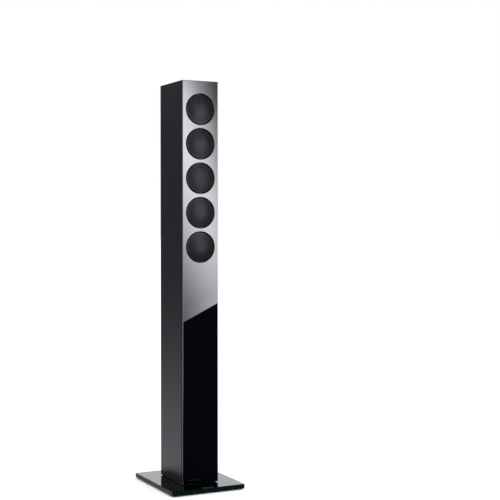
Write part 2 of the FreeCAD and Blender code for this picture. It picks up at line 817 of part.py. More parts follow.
def port_tube():
    """The flared bass vent, pushed in from behind."""
    rim_radius, rim, mouth = 27.0, 2.5, 23.0
    flare_depth = 12.0
    tube_solid = turned(
        (rim_radius, 0),
        (rim_radius, rim - 1.0),
        (rim_radius - 1.0, rim),
        (mouth, rim),
        ((18.2, rim - 4.5), (VENT_RADIUS, rim - flare_depth)),
        (VENT_RADIUS, -VENT_LENGTH),
        (VENT_TUBE_RADIUS, -VENT_LENGTH),
        (VENT_TUBE_RADIUS, -REAR_WALL - 6.0),
        (VENT_TUBE_RADIUS, 0),
    )
    return at(tube_solid, y=BODY_REAR, z=VENT_HEIGHT)


# ---- crossover, wiring and wool -------------------------------------------------

BOARD_WIDTH = 76.0
BOARD_BOTTOM = 140.0
BOARD_TOP = 262.0
BOARD_THICKNESS = 1.6
STANDOFF_LENGTH = 6.0
BOARD_BACK = INNER_REAR - STANDOFF_LENGTH
BOARD_FRONT = BOARD_BACK - BOARD_THICKNESS

LEAD_RADIUS = 1.4
BEND_SWELL = 1.08  # a cable's bend is this much fatter than its straight runs
LEAD_CLEARANCE = 0.1
WOOFER_SOCKET = (24.0, 22.0)  # radius of the wall a lead ends at, and its depth behind the column's front
TWEETER_SOCKET = (22.0, 32.0)


def standoff_places():
    inset = 6.0
    return [(x, z) for x in (-BOARD_WIDTH / 2 + inset, BOARD_WIDTH / 2 - inset)
            for z in (BOARD_BOTTOM + inset, BOARD_TOP - inset)]


def crossover_board():
    board = box((-BOARD_WIDTH / 2, BOARD_WIDTH / 2), (BOARD_FRONT, BOARD_BACK), (BOARD_BOTTOM, BOARD_TOP))
    board = board.makeFillet(2.0, edges_along(board, Vector(0, 1, 0)))
    holes = [rod(1.6, (x, BOARD_FRONT, z), (x, BOARD_BACK, z)) for x, z in standoff_places()]
    return board.cut(holes)


def board_standoffs():
    """Push-in pillars bonded to the rear wall, each with a barbed head that holds the board."""
    pillars = []
    for x, z in standoff_places():
        pillar = rod(3.2, (x, BOARD_BACK, z), (x, INNER_REAR, z))
        pin = rod(1.5, (x, BOARD_FRONT - 1.0, z), (x, BOARD_BACK, z))
        barb = Part.makeCone(2.3, 0.9, 2.2, Vector(x, BOARD_FRONT - 0.02, z), Vector(0, -1, 0))
        pillars.append(pillar.fuse([pin, barb]))
    return group(pillars)


def crossover_coils():
    """Wound inductors: rings of copper, two lying on the board and one standing."""
    def winding(outer, inner, length):
        soft = 1.5
        return turned(
            (inner, 0),
            (outer - soft, 0),
            (outer, soft),
            (outer, length - soft),
            (outer - soft, length),
            (inner, length),
        )

    big, small = winding(17.0, 8.0, 16.0), winding(12.0, 6.0, 12.0)
    lying = [at(big, -17.0, BOARD_FRONT - 16.0, 168.0), at(small, 20.0, BOARD_FRONT - 12.0, 222.0)]
    standing = small.copy()
    standing.rotate(Vector(), Vector(0, 0, 1), 90)
    return group(lying + [at(standing, 26.0, BOARD_FRONT - 12.1, 160.0)])


def crossover_capacitors():
    """Film capacitors lying across the board, each on its two bent leads."""
    def capacitor(radius, length, z):
        lift, soft, x = 0.6, 1.0, -4.0
        y = BOARD_FRONT - lift - radius
        can = rod(radius, (x - length / 2, y, z), (x + length / 2, y, z))
        can = can.makeFillet(soft, edges_at(can, "X", x - length / 2) + edges_at(can, "X", x + length / 2))
        leads = [rod(0.5, (x + side * length * 0.4, y, z), (x + side * length * 0.4, BOARD_FRONT, z))
                 for side in (-1, 1)]
        return can.fuse(leads)

    return group([capacitor(6.5, 34.0, 195.0), capacitor(4.5, 26.0, 245.0)])


def crossover_resistors():
    """Ceramic power resistors, flat on the board."""
    def resistor(x, z):
        block = box((x - 4.5, x + 4.5), (BOARD_FRONT - 8.0, BOARD_FRONT), (z - 13, z + 13))
        return block.makeChamfer(0.8, edges_along(block, Vector(0, 0, 1)))

    return group([resistor(-28.0, 225.0), resistor(-16.0, 225.0)])


def cable(radius, *points):
    """Round cable through the given points, with rounded bends."""
    points = [Vector(*point) for point in points]
    pieces = [Part.makeCylinder(radius, b.sub(a).Length, a, b.sub(a)) for a, b in zip(points, points[1:])]
    bends = [Part.makeSphere(radius * BEND_SWELL, point) for point in points[1:-1]]
    return pieces[0].fuse(pieces[1:] + bends)


def post_lead(colour):
    """One lead from a binding post's inner end to the foot of the crossover board."""
    x, bend_y, end_z = post_x(colour), POST_INNER_END - 8.0, BOARD_BOTTOM + 4.0
    return cable(
        LEAD_RADIUS,
        (x, POST_INNER_END - LEAD_CLEARANCE, TERMINAL_HEIGHT),
        (x, bend_y, TERMINAL_HEIGHT),
        (x, bend_y, end_z),
        (x, BOARD_FRONT - LEAD_CLEARANCE, end_z),
    )


def driver_loom():
    """The trunk cable from the board up the cabinet, with a branch to the back of each driver."""
    trunk_x, trunk_y, side_x = -26.0, 45.0, -35.0
    foot = BOARD_TOP - 12.0
    trunk = cable(
        3.0,
        (trunk_x, BOARD_FRONT - LEAD_CLEARANCE, foot),
        (trunk_x, trunk_y, foot),
        (trunk_x, trunk_y, DRIVER_HEIGHTS[0] + 6.0),
    )
    branches = []
    for place, height in enumerate(DRIVER_HEIGHTS, 1):
        wall, depth = TWEETER_SOCKET if place == TWEETER_PLACE else WOOFER_SOCKET
        y = BODY_FRONT + depth
        branches.append(cable(
            LEAD_RADIUS,
            (trunk_x, trunk_y, height),
            (side_x, trunk_y - 35.0, height),
            (side_x, y, height),
            (-wall - LEAD_CLEARANCE, y, height),
        ))
    return trunk.fuse(branches)


def wiring():
    return group([post_lead(colour) for colour in POST_SIDES] + [driver_loom()])


def damping_wool():
    """Wadding that lines the side and rear walls below the drivers."""
    thickness, gap, front, z = 12.0, 0.5, -40.0, (372.0, 600.0)
    outer = INNER_HALF_WIDTH - gap
    inner = outer - thickness
    lining = box((-outer, outer), (front, INNER_REAR - gap), z)
    lining = lining.cut(box((-inner, inner), (front, INNER_REAR - gap - thickness), z))
    return lining.cut([rod(PORT_RADIUS + gap, (x, y, z[0]), (x, y, z[1])) for x, y in port_places()])


# ---- every node --------------------------------------------------------------

def nodes():
    parts = {
        "base_plate": base_plate(),
        "base_feet": base_feet(),
        "screw_sleeves": screw_sleeves(),
        "base_screws": base_screws(),
        "plinth_spacer": plinth_spacer(),
        "badge_strip": badge_strip(),
        "cabinet_tube": cabinet_tube(),
        "bottom_plate": bottom_plate(),
        "top_plate": top_plate(),
        "top_trim": top_trim(),
        "end_plate_screws": group(end_screws()),
        "front_panel": front_panel(),
        "panel_tape": panel_tape(),
        "driver_grilles": driver_grilles(),
        "driver_gaskets": driver_gaskets(),
        "driver_screws": driver_screws(),
        "woofer_baskets": for_woofers(woofer_basket()),
        "woofer_top_plates": for_woofers(
            flat_ring(MAGNET_GAP_RADIUS, MOTOR_PLATE_RADIUS, MAGNET_FRONT, TOP_PLATE_BACK)
        ),
        "woofer_magnets": for_woofers(ring_magnet(TOP_PLATE_BACK, MAGNET_BACK)),
        "woofer_yokes": for_woofers(yoke(POLE_RADIUS, MAGNET_FRONT, MAGNET_BACK, YOKE_BACK)),
        "tweeter_faceplate": for_tweeter(tweeter_faceplate()),
        "tweeter_dome": for_tweeter(tweeter_dome()),
        "tweeter_surround": for_tweeter(tweeter_surround()),
        "tweeter_coil": for_tweeter(tweeter_coil()),
        "tweeter_top_plate": for_tweeter(
            flat_ring(TWEETER_GAP_RADIUS, MOTOR_PLATE_RADIUS, *TWEETER_TOP_PLATE)
        ),
        "tweeter_magnet": for_tweeter(ring_magnet(TWEETER_TOP_PLATE[1], TWEETER_MAGNET_BACK)),
        "tweeter_yoke": for_tweeter(
            yoke(TWEETER_POLE_RADIUS, TWEETER_POLE_FRONT, TWEETER_MAGNET_BACK, TWEETER_YOKE_BACK)
        ),
        "tweeter_rear_cup": for_tweeter(tweeter_rear_cup()),
        "terminal_cup": terminal_cup(),
        "terminal_screws": group(terminal_screw_set()),
        "binding_posts": binding_posts(),
        "post_nuts": post_nuts(),
        "port_tube": port_tube(),
        "crossover_board": crossover_board(),
        "board_standoffs": board_standoffs(),
        "crossover_coils": crossover_coils(),
        "crossover_capacitors": crossover_capacitors(),
        "crossover_resistors": crossover_resistors(),
        "wiring": wiring(),
        "damping_wool": damping_wool(),
    }
    for colour in POST_SIDES:
        parts[f"{colour}_post_washer"] = post_washer(colour)
        parts[f"{colour}_post_cap"] = post_cap(colour)
    for place in WOOFER_PLACES:
        parts[f"woofer_{place}_cone"] = at_driver(woofer_cone(), place)
        parts[f"woofer_{place}_coil"] = at_driver(woofer_coil(), place)
        parts[f"woofer_{place}_surround"] = at_driver(woofer_surround(), place)
        parts[f"woofer_{place}_spider"] = at_driver(woofer_spider(), place)
    return parts


os.makedirs("parts", exist_ok=True)
for name, shape in nodes().items():
    shape.exportStep(f"parts/{name}.step")
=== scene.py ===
"""The looks of a slim floorstanding column speaker: its finishes, its grilles and soft parts, and a studio.

Metres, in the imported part's own frame: +Z is up and the speaker faces -Y.
"""

import json
import math

import bmesh
import bpy
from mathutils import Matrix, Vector, noise
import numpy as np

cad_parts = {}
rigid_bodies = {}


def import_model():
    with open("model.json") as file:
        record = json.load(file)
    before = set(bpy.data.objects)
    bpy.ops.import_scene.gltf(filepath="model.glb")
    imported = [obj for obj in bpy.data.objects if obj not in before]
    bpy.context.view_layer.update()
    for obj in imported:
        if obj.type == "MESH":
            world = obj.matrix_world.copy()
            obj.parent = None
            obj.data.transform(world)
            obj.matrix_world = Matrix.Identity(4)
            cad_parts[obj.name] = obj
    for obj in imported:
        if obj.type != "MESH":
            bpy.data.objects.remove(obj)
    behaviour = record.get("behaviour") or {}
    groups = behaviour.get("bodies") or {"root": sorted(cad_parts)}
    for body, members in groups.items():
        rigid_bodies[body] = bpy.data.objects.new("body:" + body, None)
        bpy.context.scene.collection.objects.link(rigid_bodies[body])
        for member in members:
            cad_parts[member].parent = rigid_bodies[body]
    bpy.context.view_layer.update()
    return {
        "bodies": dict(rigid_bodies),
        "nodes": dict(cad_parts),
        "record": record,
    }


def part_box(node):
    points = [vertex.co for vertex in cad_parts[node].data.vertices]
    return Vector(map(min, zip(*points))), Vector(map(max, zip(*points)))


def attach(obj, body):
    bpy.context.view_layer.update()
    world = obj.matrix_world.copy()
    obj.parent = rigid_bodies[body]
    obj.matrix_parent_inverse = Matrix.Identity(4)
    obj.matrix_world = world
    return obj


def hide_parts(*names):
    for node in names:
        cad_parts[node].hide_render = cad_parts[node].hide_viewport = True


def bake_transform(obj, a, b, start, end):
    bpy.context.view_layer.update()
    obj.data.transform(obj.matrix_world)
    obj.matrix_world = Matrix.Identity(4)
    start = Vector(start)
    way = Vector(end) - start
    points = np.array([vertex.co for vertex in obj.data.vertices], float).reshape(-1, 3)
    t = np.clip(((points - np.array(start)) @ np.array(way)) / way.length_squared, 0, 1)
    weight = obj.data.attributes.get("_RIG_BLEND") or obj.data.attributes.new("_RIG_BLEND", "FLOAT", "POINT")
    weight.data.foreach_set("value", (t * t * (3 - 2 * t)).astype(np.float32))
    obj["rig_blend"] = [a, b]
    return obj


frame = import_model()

MM = 0.001


# ---- what the frame says ------------------------------------------------------

def middle(node):
    low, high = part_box(node)
    return (low + high) / 2


def half_width(node):
    low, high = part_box(node)
    return (high.x - low.x) / 2


WOOFERS = sorted(int(body.rsplit("_", 1)[1]) for body in frame["bodies"] if body.startswith("woofer_"))
TWEETER_HEIGHT = middle("tweeter_dome").z
HEIGHTS = {place: middle(f"woofer_{place}_cone").z for place in WOOFERS}
PITCH = HEIGHTS[1] - HEIGHTS[2]
TWEETER = 1 + round((HEIGHTS[1] - TWEETER_HEIGHT) / PITCH)
HEIGHTS[TWEETER] = TWEETER_HEIGHT

BODY_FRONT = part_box("cabinet_tube")[0].y
BASE_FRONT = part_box("base_plate")[0].y


# ---- materials: short ways to lay out nodes -------------------------------------

class Surface:
    """A Principled material that is being laid out. Sizes are in metres, on the part's own coordinates."""

    def __init__(self, name, **values):
        self.material = bpy.data.materials.new(name)
        self.material.use_nodes = True
        self.tree = self.material.node_tree
        self.shader = self.tree.nodes["Principled BSDF"]
        self.place = self.node("ShaderNodeTexCoord").outputs["Object"]
        self.set(**values)

    def node(self, kind, inputs=None, **settings):
        """A new node with its settings made first, and then its inputs fed with values or other sockets."""
        made = self.tree.nodes.new(kind)
        for key, value in settings.items():
            setattr(made, key, value)
        for key, value in (inputs or {}).items():
            self.feed(made.inputs[key], value)
        return made

    def feed(self, socket, value):
        if isinstance(value, bpy.types.NodeSocket):
            self.tree.links.new(value, socket)
        elif socket.type == "RGBA" and len(value) == 3:
            socket.default_value = (*value, 1.0)
        else:
            socket.default_value = value

    def set(self, **values):
        """Feeds the Principled shader's inputs: base_color=... is its Base Color."""
        for key, value in values.items():
            words = [word.upper() if word == "ior" else word.capitalize() for word in key.split("_")]
            self.feed(self.shader.inputs[" ".join(words)], value)

    def math(self, operation, *values):
        made = self.node("ShaderNodeMath", operation=operation)
        for socket, value in zip(made.inputs, values):
            self.feed(socket, value)
        return made.outputs["Value"]

    def stretched(self, x=1.0, y=1.0, z=1.0):
        """The coordinates with each axis multiplied, to draw a pattern out along the smallest one."""
        return self.node(
            "ShaderNodeVectorMath", {0: self.place, 1: (x, y, z)}, operation="MULTIPLY"
        ).outputs["Vector"]

    def noise(self, size, detail=3.0, place=None):
        inputs = {"Vector": place or self.place, "Scale": 1 / size, "Detail": detail}
        return self.node("ShaderNodeTexNoise", inputs).outputs["Fac"]

    def cells(self, size, output="Distance", feature="F1", place=None):
        inputs = {"Vector": place or self.place, "Scale": 1 / size}
        return self.node("ShaderNodeTexVoronoi", inputs, feature=feature).outputs[output]

    def axis(self, letter, place=None):
        return self.node("ShaderNodeSeparateXYZ", {0: place or self.place}).outputs[letter]

    def waves(self, distance, size):
        """A smooth 0-to-1 wave along a distance."""
        turn = self.math("MULTIPLY", distance, 2 * math.pi / size)
        return self.math("MULTIPLY_ADD", self.math("SINE", turn), 0.5, 0.5)

    def driver_radius(self):
        """Distance from the axis of the nearest driver."""
        x, z = self.axis("X"), self.axis("Z")
        above_tweeter = self.math("SUBTRACT", z, TWEETER_HEIGHT)
        from_axis = self.math("WRAP", above_tweeter, PITCH / 2, -PITCH / 2)
        joined = self.node("ShaderNodeCombineXYZ", {"X": x, "Z": from_axis}).outputs["Vector"]
        return self.node("ShaderNodeVectorMath", {0: joined}, operation="LENGTH").outputs["Value"]

    def between(self, share, low, high, start=0.0, end=1.0):
        """A value that goes from low to high as share goes from start to end."""
        inputs = {"Value": share, "From Min": start, "From Max": end, "To Min": low, "To Max": high}
        return self.node("ShaderNodeMapRange", inputs).outputs["Result"]

    def tint(self, share, first, second):
        """A colour that goes from the first to the second as share goes from 0 to 1."""
        made = self.node("ShaderNodeMix", {"Factor": share}, data_type="RGBA")
        colours = [socket for socket in made.inputs if socket.type == "RGBA"]
        self.feed(colours[0], first)
        self.feed(colours[1], second)
        return next(socket for socket in made.outputs if socket.type == "RGBA")

    def bump(self, height, depth, strength=1.0):
        """Adds relief of the given depth on top of what is there already."""
        inputs = {"Height": height, "Distance": depth, "Strength": strength}
        relief = self.node("ShaderNodeBump", inputs)
        normal = self.shader.inputs["Normal"]
        if normal.is_linked:
            self.feed(relief.inputs["Normal"], normal.links[0].from_socket)
        self.feed(normal, relief.outputs["Normal"])

    def soften_edges(self, radius):
        """Rounds the shading of sharp edges. Comes before any bump, which it would replace."""
        bevel = self.node("ShaderNodeBevel", {"Radius": radius})
        self.feed(self.shader.inputs["Normal"], bevel.outputs["Normal"])

    def weave(self, thread, depth):
        """Over-and-under threads. Gives the 0-to-1 height of the cloth."""
        x, z = self.axis("X"), self.axis("Z")
        over = self.node("ShaderNodeTexChecker", {"Vector": self.place, "Scale": 1 / thread}).outputs["Fac"]
        warp = self.waves(x, thread)
        weft = self.waves(z, thread)
        under = self.math("SUBTRACT", 1.0, over)
        height = self.math("ADD", self.math("MULTIPLY", warp, over), self.math("MULTIPLY", weft, under))
        self.bump(height, depth)
        return height


# ---- materials: glass and metal --------------------------------------------------

def black_glass(name, face_axis, edge_dark, edge_bright):
    """Polished glass, black behind its face, with the body of the glass showing at its polished edges in the
    given edge colours, which for the front pane also hold a painted highlight.
    """
    glass = Surface(name, ior=1.5)
    haze = glass.noise(0.09, detail=5)
    normal = glass.node("ShaderNodeNewGeometry").outputs["Normal"]
    facing = glass.math("ABSOLUTE", glass.axis(face_axis, normal))
    face = glass.tint(haze, (0.0003, 0.0005, 0.0014), (0.0007, 0.0009, 0.0022))
    edge = glass.tint(glass.noise(0.02), edge_dark, edge_bright)
    glass.set(
        base_color=glass.tint(glass.between(facing, 0.0, 1.0, 0.2, 0.6), edge, face),
        roughness=glass.between(haze, 0.006, 0.016, 0.35, 0.7),
    )
    return glass


def front_glass():
    """The pane in front, whose polished edges show pale grey: the glass body's tone with a painted highlight
    on top.
    """
    return black_glass("front_glass", "Y", (0.024, 0.026, 0.030), (0.036, 0.038, 0.043))


def base_glass():
    """The base plate, whose polished edges show deep green."""
    return black_glass("base_glass", "Z", (0.0014, 0.0052, 0.0050), (0.0024, 0.0074, 0.0074))


def satin_lacquer():
    """Satin black lacquer over an extrusion: faint upright die lines under a fine grain."""
    satin = Surface("satin_black_metal", ior=1.5)
    lines = satin.noise(0.0022, detail=4, place=satin.stretched(z=0.004))
    grain = satin.noise(0.0006, detail=2)
    patches = satin.noise(0.12)
    satin.soften_edges(0.25 * MM)
    satin.set(
        base_color=satin.tint(patches, (0.0020, 0.0016, 0.0040), (0.0031, 0.0025, 0.0056)),
        roughness=satin.math("ADD", satin.between(lines, 0.20, 0.25), satin.between(grain, 0.0, 0.04)),
    )
    satin.bump(lines, 0.006 * MM)
    satin.bump(grain, 0.012 * MM)
    return satin


def brushed_aluminium():
    """Aluminium brushed from side to side."""
    metal = Surface("plain_aluminium", metallic=1.0)
    lines = metal.noise(0.0005, detail=4, place=metal.stretched(x=0.03))
    metal.set(
        base_color=metal.tint(lines, (0.62, 0.62, 0.64), (0.84, 0.84, 0.86)),
        roughness=metal.between(lines, 0.24, 0.42),
    )
    metal.bump(lines, 0.01 * MM)
    return metal


def badge_metal():
    """Dark satin metal, brushed along its length."""
    metal = Surface("badge_metal", metallic=1.0)
    lines = metal.noise(0.0005, detail=4, place=metal.stretched(x=0.05))
    metal.set(
        base_color=metal.tint(lines, (0.13, 0.13, 0.14), (0.22, 0.22, 0.23)),
        roughness=metal.between(lines, 0.34, 0.46),
    )
    return metal


def grille_paint():
    """Satin black paint on the perforated sheet."""
    paint = Surface("grille_metal", ior=1.42)
    grain = paint.noise(0.0004, detail=3)
    patches = paint.noise(0.02)
    paint.set(
        base_color=paint.tint(patches, (0.0026, 0.0028, 0.0062), (0.0042, 0.0044, 0.0090)),
        roughness=paint.between(grain, 0.27, 0.34),
    )
    paint.bump(grain, 0.01 * MM)
    return paint


def cast_frame():
    """Black powder coat over a casting."""
    cast = Surface("cast_frame", ior=1.5)
    cast.soften_edges(0.4 * MM)
    pebble = cast.cells(0.0011, feature="SMOOTH_F1")
    patches = cast.noise(0.03)
    cast.set(
        base_color=cast.tint(patches, (0.012, 0.012, 0.013), (0.022, 0.022, 0.024)),
        roughness=cast.between(pebble, 0.45, 0.62),
    )
    cast.bump(pebble, 0.05 * MM)
    return cast


def zinc_steel():
    """Zinc plate, with its faint crystal patches."""
    zinc = Surface("zinc_steel", metallic=1.0)
    crystal = zinc.cells(0.004, output="Color")
    shade = zinc.axis("X", crystal)
    zinc.soften_edges(0.2 * MM)
    zinc.set(
        base_color=zinc.tint(shade, (0.50, 0.52, 0.56), (0.68, 0.69, 0.70)),
        roughness=zinc.between(shade, 0.28, 0.42),
    )
    zinc.bump(zinc.noise(0.0008), 0.01 * MM)
    return zinc


def black_oxide():
    """Black oxide screws, with turning marks."""
    steel = Surface("black_screw", metallic=1.0)
    marks = steel.waves(steel.axis("Y"), 0.00025)
    wear = steel.noise(0.0015, detail=4)
    steel.set(
        base_color=steel.tint(wear, (0.025, 0.025, 0.028), (0.075, 0.074, 0.073)),
        roughness=steel.between(wear, 0.28, 0.45),
    )
    steel.bump(marks, 0.006 * MM)
    return steel


def ferrite():
    """Ground ceramic magnet: dark, speckled and dusty."""
    magnet = Surface("ferrite")
    speckle = magnet.cells(0.0009)
    dust = magnet.noise(0.01, detail=5)
    magnet.set(
        base_color=magnet.tint(dust, (0.022, 0.022, 0.024), (0.050, 0.049, 0.048)),
        roughness=magnet.between(speckle, 0.5, 0.75),
    )
    magnet.bump(speckle, 0.03 * MM)
    return magnet


def copper_winding():
    """Enamelled wire in close turns."""
    wire = Surface("copper_winding", metallic=1.0, coat_weight=0.6, coat_roughness=0.15)
    turns = wire.waves(wire.axis("Y"), 0.0005)
    tone = wire.noise(0.003)
    wire.set(
        base_color=wire.tint(tone, (0.46, 0.15, 0.055), (0.74, 0.31, 0.13)),
        roughness=wire.between(tone, 0.25, 0.4),
    )
    wire.bump(turns, 0.12 * MM)
    return wire


def gold_plate():
    """Gold-plated brass with fine turning marks."""
    gold = Surface("gold_brass", metallic=1.0)
    gold.soften_edges(0.15 * MM)
    marks = gold.waves(gold.axis("Y"), 0.0003)
    haze = gold.noise(0.004)
    gold.set(
        base_color=gold.tint(haze, (0.80, 0.52, 0.19), (0.94, 0.68, 0.29)),
        roughness=gold.between(haze, 0.12, 0.26),
    )
    gold.bump(marks, 0.004 * MM)
    return gold


# ---- materials: rubber, plastic and paper -----------------------------------------

def soft_black(name, tone, roughness, grain_size, grain_depth):
    """Dark rubber or foam with an even grain."""
    soft = Surface(name, specular_ior_level=0.35)
    grain = soft.cells(grain_size, feature="SMOOTH_F1")
    patches = soft.noise(grain_size * 20)
    soft.set(
        base_color=soft.tint(patches, [tone * 0.7] * 3, [tone * 1.4] * 3),
        roughness=soft.between(grain, roughness - 0.08, roughness + 0.08),
    )
    soft.bump(grain, grain_depth)
    return soft


def surround_rubber():
    """Moulded rubber with fine rings left by its mould."""
    rubber = soft_black("surround_rubber", 0.012, 0.48, 0.0006, 0.01 * MM)
    rubber.bump(rubber.waves(rubber.driver_radius(), 0.0008), 0.02 * MM)
    return rubber


def moulded_plastic():
    """Black moulding with a spark-eroded grain."""
    plastic = Surface("black_moulding", ior=1.46)
    plastic.soften_edges(0.3 * MM)
    grain = plastic.cells(0.0007, feature="SMOOTH_F1")
    patches = plastic.noise(0.02)
    plastic.set(
        base_color=plastic.tint(patches, (0.011, 0.011, 0.012), (0.019, 0.019, 0.020)),
        roughness=plastic.between(grain, 0.38, 0.55),
    )
    plastic.bump(grain, 0.03 * MM)
    return plastic


def cone_composite():
    """A woven dish under clear resin."""
    cone = Surface("cone_composite", coat_weight=0.4, coat_roughness=0.2)
    height = cone.weave(0.0022, 0.05 * MM)
    sheen = cone.noise(0.008)
    # Colour follows the weave's relief: darker in the hollows between threads, which is painted shade, and
    # lighter on their crowns.
    cone.set(
        base_color=cone.tint(height, (0.010, 0.010, 0.011), (0.045, 0.045, 0.048)),
        roughness=cone.between(sheen, 0.32, 0.48),
    )
    return cone


def dome_fabric():
    """Fine doped cloth."""
    cloth = Surface("dome_fabric", sheen_weight=0.2)
    height = cloth.weave(0.0006, 0.03 * MM)
    # Colour follows the weave's relief: darker in the hollows between threads, which is painted shade.
    cloth.set(
        base_color=cloth.tint(height, (0.010, 0.010, 0.011), (0.026, 0.025, 0.026)),
        roughness=cloth.between(cloth.noise(0.003), 0.45, 0.65),
    )
    return cloth


def spider_cloth():
    """Coarse resin-set cloth."""
    cloth = Surface("spider_cloth")
    height = cloth.weave(0.0009, 0.08 * MM)
    blotches = cloth.noise(0.006, detail=4)
    thread = cloth.tint(blotches, (0.44, 0.27, 0.10), (0.60, 0.40, 0.18))
    # Darker brown where the weave is low: painted shade in the hollows between threads, over the threads'
    # own blotchy tone.
    cloth.set(
        base_color=cloth.tint(height, (0.24, 0.13, 0.04), thread),
        roughness=cloth.between(height, 0.9, 0.7),
    )
    return cloth


def gloss_cap(name, dark, bright):
    """Glossy moulded cap with light handling haze."""
    cap = Surface(name, ior=1.5, coat_weight=0.3, coat_roughness=0.05)
    cap.soften_edges(0.3 * MM)
    flow = cap.noise(0.004, detail=4)
    cap.set(base_color=cap.tint(flow, dark, bright), roughness=cap.between(flow, 0.12, 0.26))
    cap.bump(cap.noise(0.0015), 0.01 * MM)
    return cap


def circuit_board():
    """Green solder mask over copper tracks."""
    board = Surface("circuit_board", coat_weight=0.5, coat_roughness=0.1)
    tracks = board.cells(0.011, feature="DISTANCE_TO_EDGE", place=board.stretched(y=0.0))
    bare = board.between(tracks, 1.0, 0.0, 0.05, 0.09)
    board.set(
        base_color=board.tint(bare, (0.010, 0.085, 0.035), (0.035, 0.19, 0.07)),
        roughness=board.between(board.noise(0.002), 0.25, 0.42),
    )
    board.bump(bare, 0.035 * MM)
    return board


def pale_material(name, dark, bright, roughness, speckle_size, depth):
    """A pale solid such as nylon or fired ceramic."""
    pale = Surface(name)
    speckle = pale.noise(speckle_size, detail=5)
    pale.set(
        base_color=pale.tint(speckle, dark, bright),
        roughness=pale.between(speckle, roughness - 0.1, roughness + 0.1),
    )
    pale.bump(speckle, depth)
    return pale


def capacitor_film():
    """Wrapped film, with the faint overlap of its turns."""
    film = Surface("capacitor_film", coat_weight=0.7, coat_roughness=0.08)
    wraps = film.noise(0.002, place=film.stretched(x=0.1))
    film.set(
        base_color=film.tint(wraps, (0.52, 0.30, 0.03), (0.70, 0.47, 0.07)),
        roughness=film.between(wraps, 0.22, 0.4),
    )
    film.bump(wraps, 0.03 * MM)
    return film


def cable_jacket(name="cable_jacket", dark=(0.010, 0.010, 0.011), bright=(0.028, 0.028, 0.030)):
    """Soft cable jacket with a fine braid."""
    jacket = Surface(name, specular_ior_level=0.4)
    height = jacket.weave(0.0011, 0.06 * MM)
    # Colour follows the braid's relief: darker in the hollows between threads, which is painted shade.
    jacket.set(base_color=jacket.tint(height, dark, bright), roughness=jacket.between(height, 0.7, 0.5))
    return jacket


def wadding():
    """Loose pale fibre."""
    wool = Surface("wadding", sheen_weight=0.6, sheen_roughness=0.5)
    strands = wool.noise(0.0012, detail=8, place=wool.stretched(z=0.35))
    clumps = wool.noise(0.012, detail=3)
    pale = wool.tint(clumps, (0.62, 0.62, 0.59), (0.80, 0.80, 0.77))
    # Darker where the strands' relief is low: painted shade between the strands, over the clumps' own pale
    # tone.
    wool.set(
        base_color=wool.tint(strands, (0.42, 0.42, 0.40), pale),
        roughness=wool.between(strands, 1.0, 0.85),
    )
    wool.bump(strands, 0.6 * MM)
    return wool


MATERIALS = {
    "black_glass": front_glass(),
    "satin_black_metal": satin_lacquer(),
    "plain_aluminium": brushed_aluminium(),
    "grille_metal": grille_paint(),
    "cast_frame": cast_frame(),
    "zinc_steel": zinc_steel(),
    "black_screw": black_oxide(),
    "ferrite": ferrite(),
    "black_rubber": soft_black("black_rubber", 0.012, 0.75, 0.0008, 0.03 * MM),
    "surround_rubber": surround_rubber(),
    "black_foam_tape": soft_black("black_foam_tape", 0.006, 0.9, 0.0005, 0.12 * MM),
    "black_moulding": moulded_plastic(),
    "cone_composite": cone_composite(),
    "dome_fabric": dome_fabric(),
    "spider_cloth": spider_cloth(),
    "copper_winding": copper_winding(),
    "gold_brass": gold_plate(),
    "red_cap": gloss_cap("red_cap", (0.30, 0.006, 0.006), (0.46, 0.014, 0.012)),
    "black_cap": gloss_cap("black_cap", (0.006, 0.006, 0.007), (0.014, 0.014, 0.015)),
    "circuit_board": circuit_board(),
    "white_nylon": pale_material(
        "white_nylon", (0.62, 0.61, 0.55), (0.76, 0.75, 0.70), 0.4, 0.004, 0.02 * MM),
    "capacitor_film": capacitor_film(),
    "white_ceramic": pale_material(
        "white_ceramic", (0.66, 0.65, 0.61), (0.82, 0.81, 0.78), 0.7, 0.0015, 0.06 * MM),
    "cable_jacket": cable_jacket(),
    "wadding": wadding(),
}
LEAD_COLOURS = {
    "red": cable_jacket("red_lead_jacket", (0.20, 0.006, 0.006), (0.36, 0.014, 0.012)),
    "black": cable_jacket("black_lead_jacket", (0.008, 0.008, 0.009), (0.022, 0.022, 0.024)),
}


def dress_cad_nodes():
    """Gives every CAD node the finish that its record names, or one of its own."""
    own = {"base_plate": base_glass(), "badge_strip": badge_metal()}
    for part in frame["record"]["subparts"]:
        surface = own.get(part["node"], MATERIALS[part["material_slot"]])
        for slot in frame["nodes"][part["node"]].material_slots:
            slot.material = surface.material


# ---- mesh helpers -----------------------------------------------------------------

def piece(name, shape, slot, location=(0, 0, 0), sharp_angle=40):
    """An object from a bmesh, smooth but for its sharp edges, with its slot's material."""
    mesh = bpy.data.meshes.new(name)
    shape.to_mesh(mesh)
    shape.free()
    return piece_from_mesh(name, mesh, slot, location, sharp_angle)


def piece_from_mesh(name, mesh, slot, location=(0, 0, 0), sharp_angle=40):
    mesh.shade_smooth()
    mesh.set_sharp_from_angle(angle=math.radians(sharp_angle))
    mesh.materials.clear()
    mesh.materials.append(MATERIALS[slot].material)
    made = bpy.data.objects.new(name, mesh)
    made.location = location
    bpy.context.scene.collection.objects.link(made)
    return made


def with_modifiers(made):
    """The mesh of an object once its modifiers are applied. The object itself is removed."""
    bpy.context.view_layer.update()
    shaped = made.evaluated_get(bpy.context.evaluated_depsgraph_get())
    mesh = bpy.data.meshes.new_from_object(shaped)
    bpy.data.objects.remove(made)
    return mesh


def on_circle(radius, y, turn):
    return (radius * math.cos(turn), y, radius * math.sin(turn))


